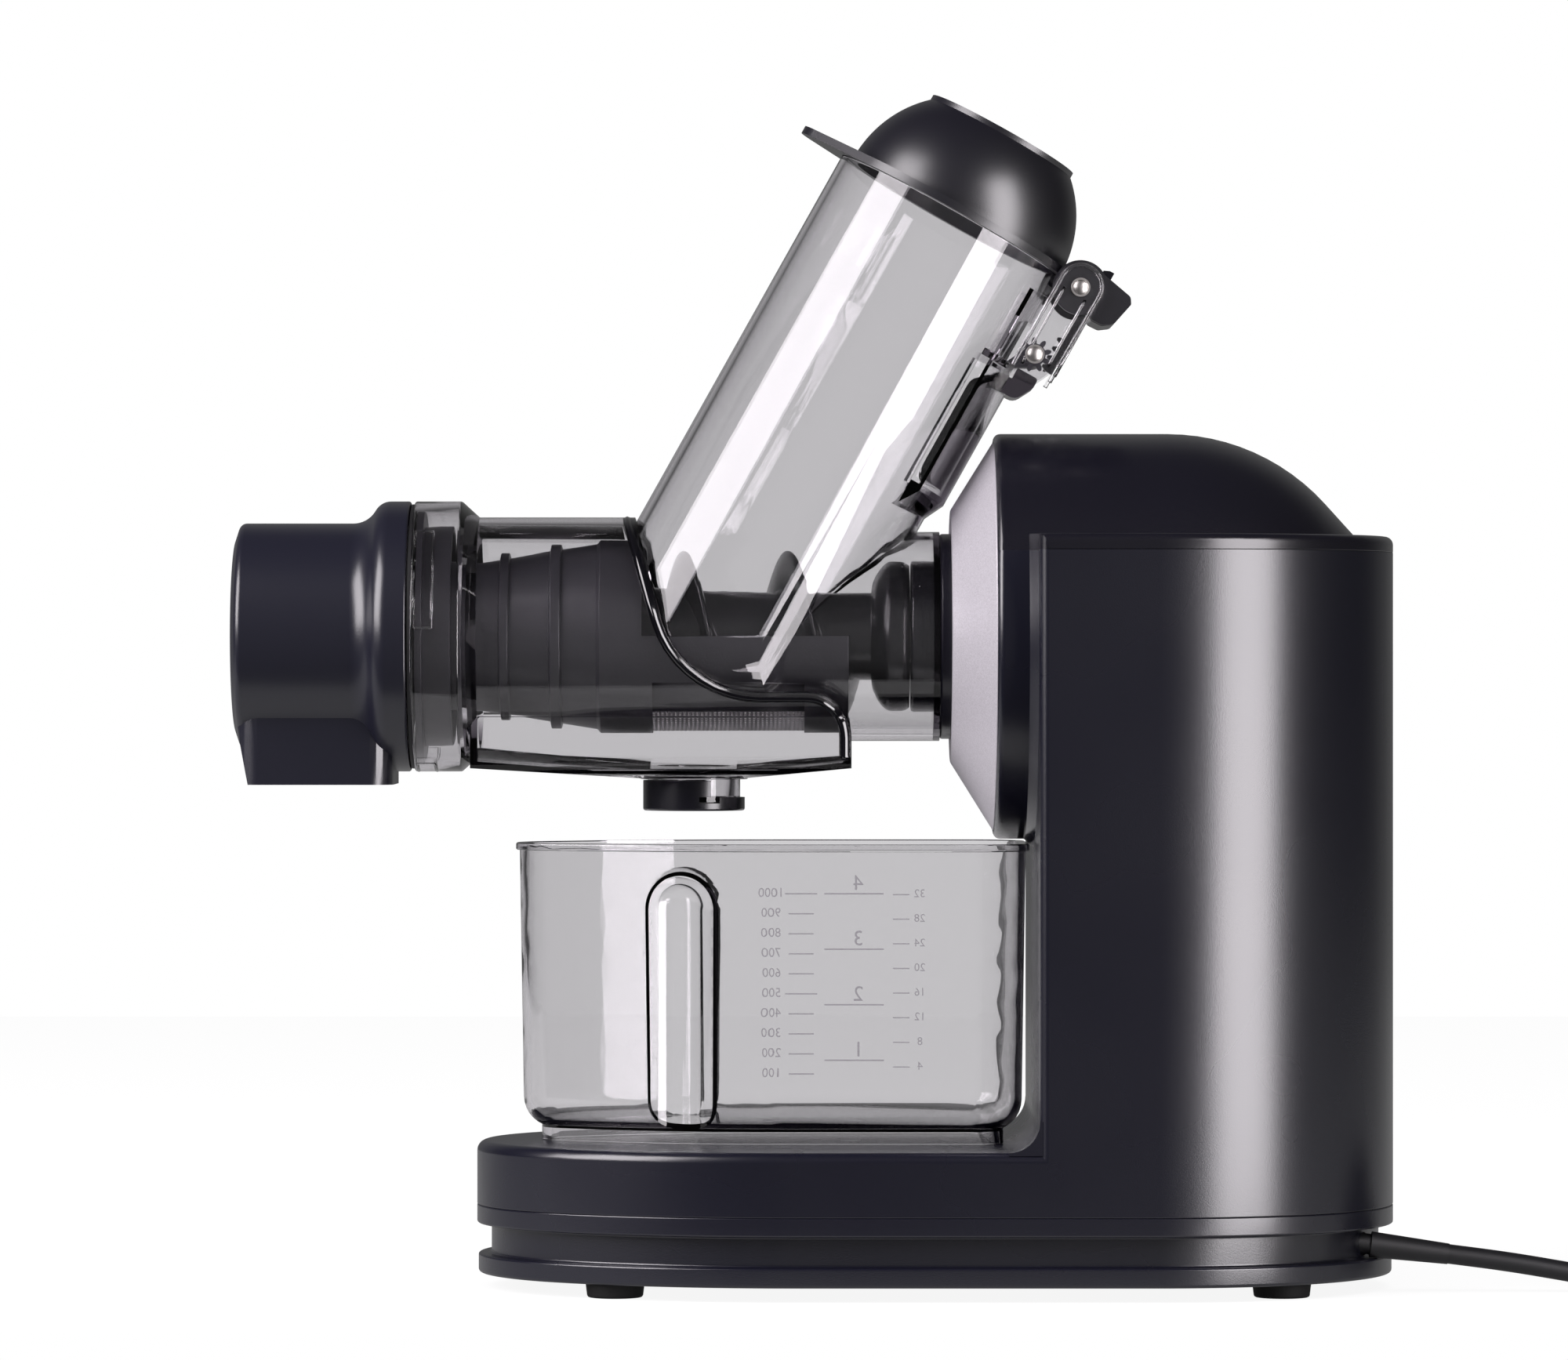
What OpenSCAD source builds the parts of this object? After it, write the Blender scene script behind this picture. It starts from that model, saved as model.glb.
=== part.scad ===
// Cold press juicer: a slow horizontal auger in a clear juicing chamber, on a moulded base.
// X runs along the auger from the pulp end to the motor, Y goes to the back, Z is up.
// The origin is the centre of the base's footprint on the counter.

/* [Base] */
// Reach of the base to the left of the origin
base_left = 157.6; // [154:0.2:166]
// Reach of the base to the right of the origin
base_right = 157.5; // [155:0.2:165]
// Half the width of the base and column, front to back
base_half_w = 84; // [82:0.5:90]
// Length of the oval end of the base
base_oval_len = 108; // [104:1:116]
// Height of the rubber feet
foot_h = 4.9; // [4:0.1:8]
// Radius of a foot
foot_r = 10; // [8:0.5:12]
// Height of the band below the cord groove
low_band_h = 6.7; // [5:0.1:9]
// Height of the cord groove
groove_h = 10.3; // [9.5:0.1:13]
// Depth of the cord groove
groove_depth = 5; // [3:0.1:5.5]
// Height of the band above the cord groove
high_band_h = 6.5; // [5:0.1:9]
// Height from the tray's seam to the top of the base
deck_h = 21.8; // [19:0.1:26]
// Round of the base's top edge
deck_round = 3.6; // [2.9:0.1:5]
// Wall of the moulded housing
wall = 2.8; // [2.2:0.1:3.4]

/* [Column] */
// Where the column's inner face stands
column_face = 33.6; // [30:0.2:36]
// Round of the column's two inner edges
column_round = 3; // [2.9:0.1:5]
// Cove between the column and the base
cove_r = 10.5; // [6:0.5:14]
// Height of the seam between housing and top cover, above the auger's axis
seam_h = 28.7; // [24.7:0.5:30.7]
// Height of the ledge of the top cover
ledge_h = 5.5; // [4.5:0.1:7]

/* [Head] */
// Height of the auger's axis above the counter
axis_h = 223.3; // [222:0.1:226]
// Radius of the round head
head_r = 69.7; // [69:0.1:72]
// Where the front edge of the head stands
head_front = 19.9; // [18:0.1:21]
// Where the head starts to fall towards the back
hump_start = 80; // [76:1:84]
// Radius of that fall
hump_r = 73; // [70:1:78]
// Angle at which the fall turns straight
hump_angle = 47.7; // [44:0.1:50]
// Front radius of the silver cone
cone_front_r = 43.4; // [41:0.1:46]
// Where the silver cone starts
cone_front = 5.8; // [4:0.1:8]
// Radius of the coupling collar
collar_r = 35.3; // [34.8:0.1:36]
// Where the collar's front face stands
collar_front = 1.4; // [1:0.1:3]
// Radius of the collar's nose, which the chamber slides over
nose_r = 26; // [24:0.2:27]
// Length of that nose
nose_len = 9.9; // [6:0.1:9.9]

/* [Chamber] */
// Wall of the clear parts
clear_wall = 2.5; // [2:0.1:3]
// Radius of the wide end of the drum
drum_r = 41; // [40:0.2:42]
// Radius of the rear end of the drum
drum_rear_r = 36; // [35.8:0.1:37]
// Left end of the drum
drum_left = 178.9; // [177:0.1:181]
// Radius of the end collar of the drum
end_collar_r = 46.5; // [45.5:0.1:48]
// Length of the end collar
end_collar_len = 16.2; // [14:0.1:18]
// Left end of the juice trough
trough_left = 159; // [157:0.5:161]
// Right end of the juice trough
trough_right = 29; // [26:0.5:34]
// Half the width of the trough
trough_half_w = 30.3; // [28:0.1:31]
// Depth of the trough's ends below the auger's axis
trough_end_h = 45.1; // [43.3:0.1:47.3]
// Depth of the trough's lowest line below the auger's axis
trough_low_h = 48.7; // [48.3:0.1:51.3]
// Place of the juice spout, left of the origin
spout_x = 83; // [80:0.5:86]
// Radius of the spout
spout_r = 15.9; // [15:0.1:17]

/* [Chute] */
// Lean of the feed chute from vertical, in degrees
chute_lean = 29.3; // [27:0.1:31]
// Radius of the feed chute
chute_r = 43; // [42:0.1:44]
// Place of the centre of the chute's rim, along X
rim_x = 5.3; // [4:0.1:7]
// Height of the centre of the chute's rim above the auger's axis
rim_h = 144.3; // [138.7:0.2:150.7]

/* [Lid] */
// Radius of the lid's flange
lid_r = 46; // [45:0.1:46.4]
// Thickness of the lid's flange
lid_t = 2.7; // [2.2:0.1:3.5]
// Radius of the lid's dome
dome_r = 41; // [40:0.1:41.4]
// Height at which the dome is cut off for the mouth
mouth_h = 32; // [26:0.5:34]
// Reach of the thumb tab
tab_reach = 59; // [54:0.5:64]
// Reach of the lid's pivot from the chute's axis
lid_pivot = 50.7; // [50.5:0.1:51.2]
// Reach of the flap's pivot from the chute's axis
flap_pivot = 48.2; // [48:0.1:48.6]
// Depth of the flap's pivot below the rim
flap_depth = 28; // [27:0.5:29]
// Pitch radius of the two hinge gears
hinge_gear_r = 5; // [4.8:0.1:5.1]
// How far the lid opens, in degrees
lid_swing = 85; // [60:1:86]
// Radius of the hinge pins
pin_r = 1.75; // [1.5:0.05:2]

/* [Pulp cap] */
// Left end of the pulp cap
cap_left = 239.6; // [236:0.2:243]
// Radius of the cap's body
cap_r = 38.9; // [38:0.1:40]
// Half the width of the pulp chute
pulp_half_w = 27; // [24:0.5:30]
// Depth of the pulp chute below the axis
pulp_drop = 50.8; // [48:0.2:54]

/* [Strainer and auger] */
// Outer radius of the strainer's wide part
strainer_r = 33.2; // [32.8:0.1:33.2]
// Outer radius of the strainer's outlet
strainer_tip_r = 25.4; // [25:0.1:27]
// Wall of the strainer
strainer_wall = 2; // [1.6:0.1:2.2]
// Radius of the auger's flight in the feed zone
flight_r = 29.4; // [28:0.1:30]
// Radius of the auger's core
core_r = 15; // [13:0.2:16]
// Length of one turn of the flight
flight_pitch = 36; // [30:1:44]

/* [Jug] */
// Left end of the jug
jug_left = 144.3; // [142:0.2:148]
// Right end of the jug
jug_right = 31.8; // [29:0.1:32.2]
// Half the width of the jug
jug_half_w = 46; // [42:0.5:50]
// Length of the jug's oval end
jug_oval_len = 92; // [84:1:98]
// Round of the jug's two right corners in plan
jug_corner_r = 20; // [14:0.5:26]
// Height of the jug with its foot
jug_h = 102; // [96:0.2:102.4]
// Wall of the jug
jug_wall = 2.2; // [1.8:0.1:2.6]
// How far the jug slides out
jug_travel = 200; // [120:5:240]

/* [Drive] */
// Module of the gears
gear_m = 1.25; // [1.2:0.01:1.25]
// Teeth of the output gear
output_teeth = 48; // [44:4:48]
// Teeth of the middle wheel
middle_teeth = 40; // [36:4:40]
// Teeth of the two pinions
pinion_teeth = 12; // [12:1:12]
// Radius of the motor
motor_r = 34; // [30:0.5:35]
// Length of the motor's can
motor_len = 54; // [46:1:54]

/* [Switch and cord] */
// Radius of the switch knob
knob_r = 17; // [14:0.5:18]
// Height of the switch above the counter
knob_h = 120; // [100:1:150]
// Diameter of the cord
cord_d = 6.7; // [6:0.1:7.5]
// Mean radius of the cord's coil
coil_r = 37; // [34:0.5:44]

/* [Hidden] */

// Clearances: between moving solids, in a running fit, and for a screw in its hole
clear = 0.3;
run = 0.06;
screw_slack = 0.1;

// Levels of the base
groove_low = foot_h + low_band_h;
groove_high = groove_low + groove_h;
tray_top = groove_high + high_band_h;
deck = tray_top + deck_h;
band_step = 0.5;
floor_t = 2.6;
far = 400;

// Plan of the base and of the jug: left end, right end, half width, oval length, corner radius
base_plan = [-base_left, base_right, base_half_w, base_oval_len, base_half_w];
jug_plan = [-jug_left, jug_right, jug_half_w, jug_oval_len, jug_corner_r];

column_centre = base_right - base_half_w;

// Heights set out from the auger's axis
seam = axis_h + seam_h;
trough_end = axis_h - trough_end_h;
trough_low = axis_h - trough_low_h;
rim = axis_h + rim_h;

// Screws stand at the four feet
foot_left = -109;
foot_right = 116;
foot_y = 55;
foot_places = [for (x = [foot_left, foot_right], y = [-foot_y, foot_y]) [x, y]];

// Materials
black_abs = [0.10, 0.10, 0.13];
deep_black = [0.05, 0.05, 0.06];
silver_paint = [0.72, 0.72, 0.74];
smoke_clear = [0.55, 0.53, 0.56, 0.35];
steel = [0.75, 0.75, 0.77];
gear_white = [0.90, 0.89, 0.84];
rubber_black = [0.08, 0.08, 0.08];

// ---------- shared geometry ----------

// A polygon's corners as [x, y, round]: each round becomes an arc of n steps
function unit(v) = v / norm(v);
function arc_at(a, b, c, n) =
  let (
      u = unit([a[0] - b[0], a[1] - b[1]]),
      w = unit([c[0] - b[0], c[1] - b[1]]),
      half = acos(u * w) / 2,
      centre = [b[0], b[1]] + unit(u + w) * b[2] / sin(half),
      start = [b[0], b[1]] + u * b[2] / tan(half) - centre,
      a0 = atan2(start[1], start[0]),
      side = u[0] * w[1] - u[1] * w[0] > 0 ? -1 : 1
  )
  [for (k = [0:n]) centre + b[2] * [cos(a0 + side * (180 - 2 * half) * k / n),
                                    sin(a0 + side * (180 - 2 * half) * k / n)]];
function rounded(p, n = 5) =
  [for (i = [0:len(p) - 1])
      each p[i][2] > 0
          ? arc_at(p[(i + len(p) - 1) % len(p)], p[i], p[(i + 1) % len(p)], n)
          : [[p[i][0], p[i][1]]]];

// Sweeps an edge profile round a plan and fills it to the middle: the profile's x is 0 at the outline
// and negative inwards, and its y is height. The oval end is a tip circle between two flat side circles,
// which meet where a 3-4-5 triangle joins their centres
module around(plan) {
  step = (plan[3] - plan[2]) / 2;
  cx = plan[0] + plan[3];
  tip_x = cx - 3 * step;
  corner_x = plan[1] - plan[4];
  corner_y = plan[2] - plan[4];
  stretch([tip_x, 0], plan[2] - step, 90, 180,
          [[tip_x, 0], [tip_x - 0.6 * far, 0.8 * far], [tip_x - 2 * far, 0], [tip_x - 0.6 * far, -0.8 * far]])
    children();
  for (side = [0, 1])
    mirror([0, side, 0]) {
      stretch([cx, -4 * step], plan[2] + 4 * step, 90, 90,
              [[tip_x, 0], [cx, 0], [cx, 0.8 * far], [tip_x - 0.6 * far, 0.8 * far]])
        children();
      translate([cx, plan[2], 0])
        rotate([90, 0, 90])
          linear_extrude(corner_x - cx)
            within(plan[2]) children();
      if (corner_y > 0)
        translate([corner_x, corner_y, 0]) wheel(plan[4], 90) children();
    }
  if (corner_y > 0)
    translate([plan[1], corner_y, 0])
      rotate([90, 0, 0])
        linear_extrude(2 * corner_y)
          within(plan[4]) children();
  else
    translate([corner_x, 0, 0]) rotate([0, 0, -90]) wheel(plan[4], 180) children();
}

// A profile turned about z, from the x axis on
module wheel(r, turn) {
  rotate_extrude(angle = turn, $fn = 144)
    intersection() {
      translate([r, 0]) children();
      translate([0, -far]) square([r + 50, 3 * far]);
    }
}

// A turned stretch of a plan, cut to the wedge that it fills
module stretch(centre, r, start, turn, wedge) {
  intersection() {
    translate([centre[0], centre[1], 0]) rotate([0, 0, start]) wheel(r, turn) children();
    translate([0, 0, -far]) linear_extrude(3 * far) polygon(wedge);
  }
}

// The part of a profile within a reach of the outline
module within(reach) {
  intersection() {
    children();
    translate([-reach, -far]) square([reach + 50, 3 * far]);
  }
}

// Puts a shape's own z axis on the auger's axis, with z as X
module on_axis(h = axis_h) {
  translate([0, 0, h]) rotate([0, 90, 0]) children();
}

// A solid of revolution about the auger's axis from corners [radius, X, round]
module turned(corners, n = 5) {
  on_axis() rotate_extrude($fn = 120) polygon(rounded(corners, n));
}

// A disc on an axis along X
module disc(r, x0, x1, h = axis_h, y = 0) {
  translate([0, y, 0]) on_axis(h) translate([0, 0, x0]) cylinder(r = r, h = x1 - x0, $fn = 96);
}

// Extrudes a shape drawn in X and Z from y0 to y1
module across(y0, y1) {
  translate([0, y1, 0]) rotate([90, 0, 0]) linear_extrude(y1 - y0) children();
}

// The chute's own frame: z along the chute, x towards the motor, origin at the rim's centre
module on_chute() {
  translate([rim_x, 0, rim]) rotate([0, chute_lean, 0]) children();
}

// Involute gear outline with a tooth on the x axis
pressure = 25;
function involute(a) = tan(a) - a * PI / 180;
function tooth_angle(r, base, z, pitch_r, thin) =
  90 / z - thin / pitch_r * 90 / PI
  + (involute(pressure) - involute(acos(min(1, base / r)))) * 180 / PI;
function gear_outline(z, pitch_r, add, ded, thin) =
  let (
      base = pitch_r * cos(pressure),
      root = pitch_r - ded,
      low = max(root, base),
      tip = pitch_r + add,
      flank = [for (k = [0:4]) low + (tip - low) * k / 4]
  )
  [for (i = [0:z - 1])
      let (mid = 360 * i / z)
      each concat(
          root < low ? [polar(root, mid - tooth_angle(low, base, z, pitch_r, thin))] : [],
          [for (r = flank) polar(r, mid - tooth_angle(r, base, z, pitch_r, thin))],
          [for (k = [4:-1:0]) polar(flank[k], mid + tooth_angle(flank[k], base, z, pitch_r, thin))],
          root < low ? [polar(root, mid + tooth_angle(low, base, z, pitch_r, thin))] : [])];
function polar(r, a) = [r * cos(a), r * sin(a)];

// ---------- base and column ----------

module screw_clearance(x, y, z0, z1, r) {
  translate([x, y, z0]) cylinder(r = r, h = z1 - z0, $fn = 48);
}

base_screw_r = 2;
base_screw_head_r = 4;
tray_boss_r = 6.5;
tray_cavity = groove_depth + wall;
tray_round = 1.2;

// The cord leaves the groove through a boss here
exit_angle = -24.7;
exit_r = base_half_w - groove_depth;
exit_at = [column_centre + exit_r * cos(exit_angle), exit_r * sin(exit_angle),
           groove_low + groove_h * 0.48];
relief_root_r = cord_d / 2 + 1.1;
relief_hole_r = relief_root_r - 0.6;
relief_neck = 2.3;
relief_grip = 9;

// The cord's own frame at its exit: z points along it, out of the base
module relief_frame() {
  translate(exit_at) rotate([0, 90 + atan((exit_at[2] - cord_route[0][2]) / relief_len), 0]) children();
}

module base_tray() {
  color(black_abs)
    difference() {
      union() {
        difference() {
          around(base_plan)
            polygon(rounded([
                [-far, foot_h, 0], [-band_step, foot_h, tray_round],
                [-band_step, groove_low, 0.8], [-groove_depth, groove_low, 0.8],
                [-groove_depth, groove_high, 0.8], [0, groove_high, 0.8],
                [0, tray_top, 0.5], [-far, tray_top, 0]]));
          around(base_plan)
            polygon([[-far, foot_h + floor_t], [-tray_cavity, foot_h + floor_t],
                     [-tray_cavity, tray_top + 1], [-far, tray_top + 1]]);
        }
        for (p = foot_places)
          screw_clearance(p[0], p[1], foot_h + floor_t / 2, tray_top, tray_boss_r);
        for (p = board_posts)
          screw_clearance(p[0], p[1], foot_h + floor_t / 2, board_h, board_post_r);
      }
      for (p = foot_places) {
        screw_clearance(p[0], p[1], foot_h - 1, tray_top + 1, base_screw_r + screw_slack);
        screw_clearance(p[0], p[1], foot_h - 1, foot_h + 6, base_screw_head_r + screw_slack);
      }
      for (i = [0:vent_count - 1])
        translate([vent_first + i * vent_step, -vent_len / 2, foot_h - 1])
          cube([vent_w, vent_len, floor_t + 2]);
      // hole for the strain relief
      relief_frame() translate([0, 0, -30]) cylinder(r = relief_hole_r, h = 45, $fn = 48);
    }
}

vent_count = 7;
vent_first = 40;
vent_step = 8;
vent_w = 3.5;
vent_len = 60;

foot_recess = 2.4;

module rubber_feet() {
  color(rubber_black)
    for (p = foot_places)
      translate([p[0], p[1], 0])
        difference() {
          rotate_extrude($fn = 72)
            polygon(rounded([[0, 0, 0], [foot_r - 0.6, 0, 1], [foot_r, foot_h, 0], [0, foot_h, 0]]));
          translate([0, 0, foot_recess])
            cylinder(r = base_screw_head_r + screw_slack, h = foot_h, $fn = 48);
        }
}

// The column's plan: the base's plan behind the inner face, with that face's edges rounded
module column_plan(inset = 0) {
  x = column_face + inset;
  w = base_half_w - inset;
  r = max(column_round - inset, 0.1);
  translate([x + r, -w]) square([column_centre - x - r, 2 * w]);
  translate([x, -w + r]) square([2 * r, 2 * w - 2 * r]);
  for (s = [-1, 1]) translate([x + r, s * (w - r)]) circle(r = r, $fn = 48);
  intersection() {
    translate([column_centre, 0]) circle(r = w, $fn = 180);
    translate([column_centre, -w]) square([w, 2 * w]);
  }
}

// The round head, from its front edge to the end of its hump
hump_len = hump_r * sin(hump_angle);
hump_drop = hump_r * (1 - cos(hump_angle));
ledge = seam + ledge_h;
ledge_round = 2.8;
hump_top_end = hump_start + hump_len;
hump_end_r = head_r - hump_drop;
hump_foot_r = 20;
hump_foot = hump_top_end + (hump_end_r - hump_foot_r) / tan(hump_angle);
head_round = 2.4;

function head_corners(inset) =
  let (
      r = head_r - inset,
      n = 12,
      shift = inset * tan(hump_angle / 2)
  )
  concat(
      [[0, head_front + (inset > 0 ? -5 : 0), 0]],
      [[r, head_front + (inset > 0 ? -5 : 0), inset > 0 ? 0 : head_round]],
      [for (k = [0:n])
          [head_r - hump_r + (hump_r - inset) * cos(hump_angle * k / n),
           hump_start + (hump_r - inset) * sin(hump_angle * k / n), 0]],
      [[hump_foot_r - inset, hump_foot - inset / sin(hump_angle) * 0.35 - shift * 0.4, 0],
       [0, hump_foot - inset / sin(hump_angle) * 0.35 - shift * 0.4, 0]]);

module head_form(inset = 0) {
  turned(head_corners(inset));
}

module below_seam() {
  translate([-far, -far, -1]) cube([2 * far, 2 * far, seam + 1]);
}

module above_seam() {
  translate([-far, -far, seam]) cube([2 * far, 2 * far, far]);
}

// Cove between head and column
head_cove = 3;

module head_cove_form() {
  turned([[head_r - 1, column_face - head_cove, 0], [head_r, column_face - head_cove, 0],
          [head_r + head_cove, column_face, 0], [head_r + head_cove, column_face + 0.5, 0],
          [head_r - 1, column_face + 0.5, 0]]);
}

shaft_hole_r = 21;
knob_x = 55;
knob_shaft_r = 3;
post_h = 12;
collar_screw_pcd = 41;
case_screw_pcd = 26;
fascia_opening = head_r - wall;

module motor_housing() {
  color(black_abs)
    difference() {
      union() {
        // deck of the base
        around(base_plan)
          polygon(rounded([[-far, tray_top, 0], [0, tray_top, 0.4],
                           [0, deck, deck_round], [-far, deck, 0]], 8));
        // column
        translate([0, 0, deck - deck_round - 1])
          linear_extrude(seam - deck + deck_round + 1) column_plan();
        // cove at the column's foot
        intersection() {
          across(-far, far)
            difference() {
              translate([column_face - cove_r, deck - 1]) square([cove_r + 1, cove_r + 1]);
              translate([column_face - cove_r, deck + cove_r]) circle(r = cove_r, $fn = 96);
            }
          around(base_plan)
            polygon([[-far, deck - 2], [-0.6, deck - 2], [-0.6, deck + 30], [-far, deck + 30]]);
        }
        // round head in front of the column
        intersection() {
          union() {
            disc_ring_front();
            head_cove_form();
          }
          below_seam();
        }
      }
      // inside of the base
      around(base_plan)
        polygon([[-far, tray_top - 1], [-wall, tray_top - 1], [-wall, deck - wall], [-far, deck - wall]]);
      // inside of the column
      translate([0, 0, tray_top + 1])
        linear_extrude(seam) column_plan(wall);
      // inside of the head, in front of the bulkhead
      disc(fascia_opening, head_front - 5, column_face);
      // hole for the drive shaft
      disc(shaft_hole_r, column_face - 1, column_face + wall + 1);
      for (a = [45:90:315]) {
        disc(1.5 + screw_slack, column_face - 1, column_face + wall + 1,
             axis_h + case_screw_pcd * sin(a), case_screw_pcd * cos(a));
        disc(2 + screw_slack, column_face - 1, column_face + wall + 1,
             axis_h + collar_screw_pcd * sin(a + 45), collar_screw_pcd * cos(a + 45));
      }
      // hole for the switch shaft
      translate([knob_x, base_half_w - wall - 1, knob_h])
        rotate([-90, 0, 0]) cylinder(r = knob_shaft_r + 1, h = wall + 2, $fn = 48);
    }
  // posts that take the base screws
  color(black_abs)
    for (p = foot_places)
      difference() {
        union() {
          screw_clearance(p[0], p[1], tray_top, p[0] < 0 ? deck - wall : tray_top + post_h, tray_boss_r);
          // rib from a right-hand post to the wall
          if (p[0] > 0)
            translate([p[0], p[1], tray_top])
              rotate([0, 0, atan2(p[1], p[0] - column_centre)])
                translate([0, -1.5, 0])
                  cube([base_half_w - wall / 2 - norm([p[0] - column_centre, p[1]]), 3, post_h]);
        }
        screw_clearance(p[0], p[1], tray_top - 1, tray_top + post_h - 2, base_screw_r + screw_slack);
      }
}

// The head's tube below the top cover, up to the column's bulkhead
module disc_ring_front() {
  turned([[fascia_opening - 1, head_front, 0], [head_r, head_front, head_round],
          [head_r, column_face + 0.5, 0], [fascia_opening - 1, column_face + 0.5, 0]]);
}

module top_cover() {
  color(deep_black)
    difference() {
      union() {
        intersection() {
          head_form();
          above_seam();
        }
        // the cove goes on up to the ledge
        intersection() {
          head_cove_form();
          translate([-far, -far, seam]) cube([2 * far, 2 * far, ledge_h]);
        }
        intersection() {
          around(base_plan)
            polygon(rounded([[-far, seam, 0], [0, seam, 0.4],
                             [0, ledge, ledge_round], [-far, ledge, 0]], 6));
          translate([0, 0, seam - 1]) linear_extrude(ledge_h + 2) column_plan();
        }
      }
      intersection() {
        head_form(wall);
        translate([-far, -far, seam - 1]) cube([2 * far, 2 * far, far]);
      }
      translate([0, 0, seam - 1])
        linear_extrude(ledge_h - wall + 1) column_plan(wall);
    }
}

// ---------- front of the head ----------

fascia_t = 2;
fascia_out_r = fascia_opening - clear;
fascia_depth = 7;
fascia_hole_r = collar_r + 0.5;
fascia_post_r = 4;
fascia_post_at = 55;

module silver_fascia() {
  color(silver_paint)
    turned([
        [fascia_hole_r, cone_front - 0.6, 0.5], [cone_front_r, cone_front - 0.6, 1.2],
        [fascia_out_r, head_front - 0.2, 0.4], [fascia_out_r, head_front + fascia_depth, 0],
        [fascia_out_r - fascia_t, head_front + fascia_depth, 0],
        [fascia_out_r - fascia_t, head_front + fascia_t, 0],
        [cone_front_r - 1, cone_front + fascia_t, 0], [fascia_hole_r, cone_front + fascia_t, 0]], 4);
  // posts that rest on the bulkhead
  color(silver_paint)
    for (a = [30:120:270])
      intersection() {
        disc(fascia_post_r, head_front - 7, column_face,
             axis_h + fascia_post_at * sin(a), fascia_post_at * cos(a));
        turned([[0, cone_front + fascia_t, 0], [cone_front_r - 1, cone_front + fascia_t, 0],
                [fascia_out_r - fascia_t, head_front + fascia_t, 0], [fascia_out_r - fascia_t, far, 0],
                [0, far, 0]]);
      }
}

collar_flange_r = 47;
collar_flange_t = 3;
seal_bore_r = 14;
seal_len = 6;
hex_flat = 14;
hex_r = hex_flat / 2 / cos(30);
journal_r = 8.9;

nose_front = collar_front - nose_len;
seal_wall = 2.5;

module coupling_collar() {
  color(deep_black)
    difference() {
      turned([
          [journal_r + 0.6, nose_front, 0.3], [nose_r, nose_front, 1], [nose_r, collar_front, 0],
          [collar_r, collar_front, 1], [collar_r, column_face - collar_flange_t, 0],
          [collar_flange_r, column_face - collar_flange_t, 0.5], [collar_flange_r, column_face, 0],
          [collar_r - wall, column_face, 0], [collar_r - wall, collar_front + wall, 0],
          [nose_r - wall, collar_front + wall, 0], [nose_r - wall, nose_front + wall, 0],
          [seal_bore_r + seal_wall, nose_front + wall, 0], [seal_bore_r + seal_wall, collar_front + 2, 0],
          [journal_r + 0.6, collar_front + 2, 0]], 3);
      // pocket for the seal
      disc(seal_bore_r, nose_front - 1, nose_front + seal_len);
      for (a = [90:90:360])
        disc(2 + screw_slack, column_face - collar_flange_t - 1, column_face + 1,
             axis_h + collar_screw_pcd * sin(a), collar_screw_pcd * cos(a));
    }
}

module shaft_seal() {
  color(rubber_black)
    turned([[journal_r + 0.25, nose_front + 0.6, 0.2], [seal_bore_r, nose_front + 0.6, 0.4],
            [seal_bore_r, nose_front + seal_len, 0], [journal_r + 0.25, nose_front + seal_len, 0]], 3);
}

module pan_screw(r, head_r, len) {
  cylinder(r = r, h = len, $fn = 32);
  translate([0, 0, -2]) cylinder(r = head_r, h = 2, $fn = 32);
}

module collar_screws() {
  color(steel)
    for (a = [90:90:360])
      translate([0, collar_screw_pcd * cos(a), 0])
        on_axis(axis_h + collar_screw_pcd * sin(a))
          translate([0, 0, column_face - collar_flange_t])
            pan_screw(2, 3.4, collar_flange_t + wall - 0.2);
}

module base_screws() {
  color(steel)
    for (p = foot_places)
      translate([p[0], p[1], foot_h + 6])
        pan_screw(base_screw_r, base_screw_head_r - 0.2, tray_top - foot_h - 6 + post_h - 4);
}

// ---------- drive ----------

output_pitch_r = gear_m * output_teeth / 2;
middle_pitch_r = gear_m * middle_teeth / 2;
pinion_pitch_r = gear_m * pinion_teeth / 2;
middle_h = axis_h - output_pitch_r - pinion_pitch_r;
rotor_h = middle_h - middle_pitch_r - pinion_pitch_r;
gear_thin = 0.18;
gear_ded = 1.2 * gear_m;

bulkhead_back = column_face + wall;
front_plate_t = 8;
plate_back = bulkhead_back + front_plate_t;
case_r = output_pitch_r + gear_m + 5;
case_wall = 2.5;
case_depth = 34;
case_back = plate_back + case_depth;
bearing_w = 7;
bearing_r = 17;
shaft_r = 10;
rear_shaft_r = 6;
axle_r = 3;
rotor_shaft_r = 4;

output_gear_at = plate_back + 5;
output_gear_w = 10;
middle_gear_at = output_gear_at + output_gear_w + 4;
middle_gear_w = 8;

ear_out = 3;
case_ear_r = 5;
case_screw_places = [for (h = [axis_h - 10, rotor_h + 10], s = [-1, 1]) [h, s * (case_r + ear_out)]];

module case_plan(inset = 0) {
  // drawn in the on_axis frame: x is down, y is back
  r = case_r - inset;
  if (inset == 0)
    for (p = case_screw_places)
      translate([axis_h - p[0], p[1]]) {
        circle(r = case_ear_r, $fn = 48);
        translate([-case_ear_r, p[1] > 0 ? -case_ear_r : 0]) square([2 * case_ear_r, case_ear_r]);
      }
  circle(r = r, $fn = 96);
  translate([axis_h - rotor_h, 0]) circle(r = r, $fn = 96);
  translate([0, -r]) square([axis_h - rotor_h, 2 * r]);
}

module case_prism(x0, x1, inset = 0) {
  on_axis() translate([0, 0, x0]) linear_extrude(x1 - x0) case_plan(inset);
}

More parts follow.
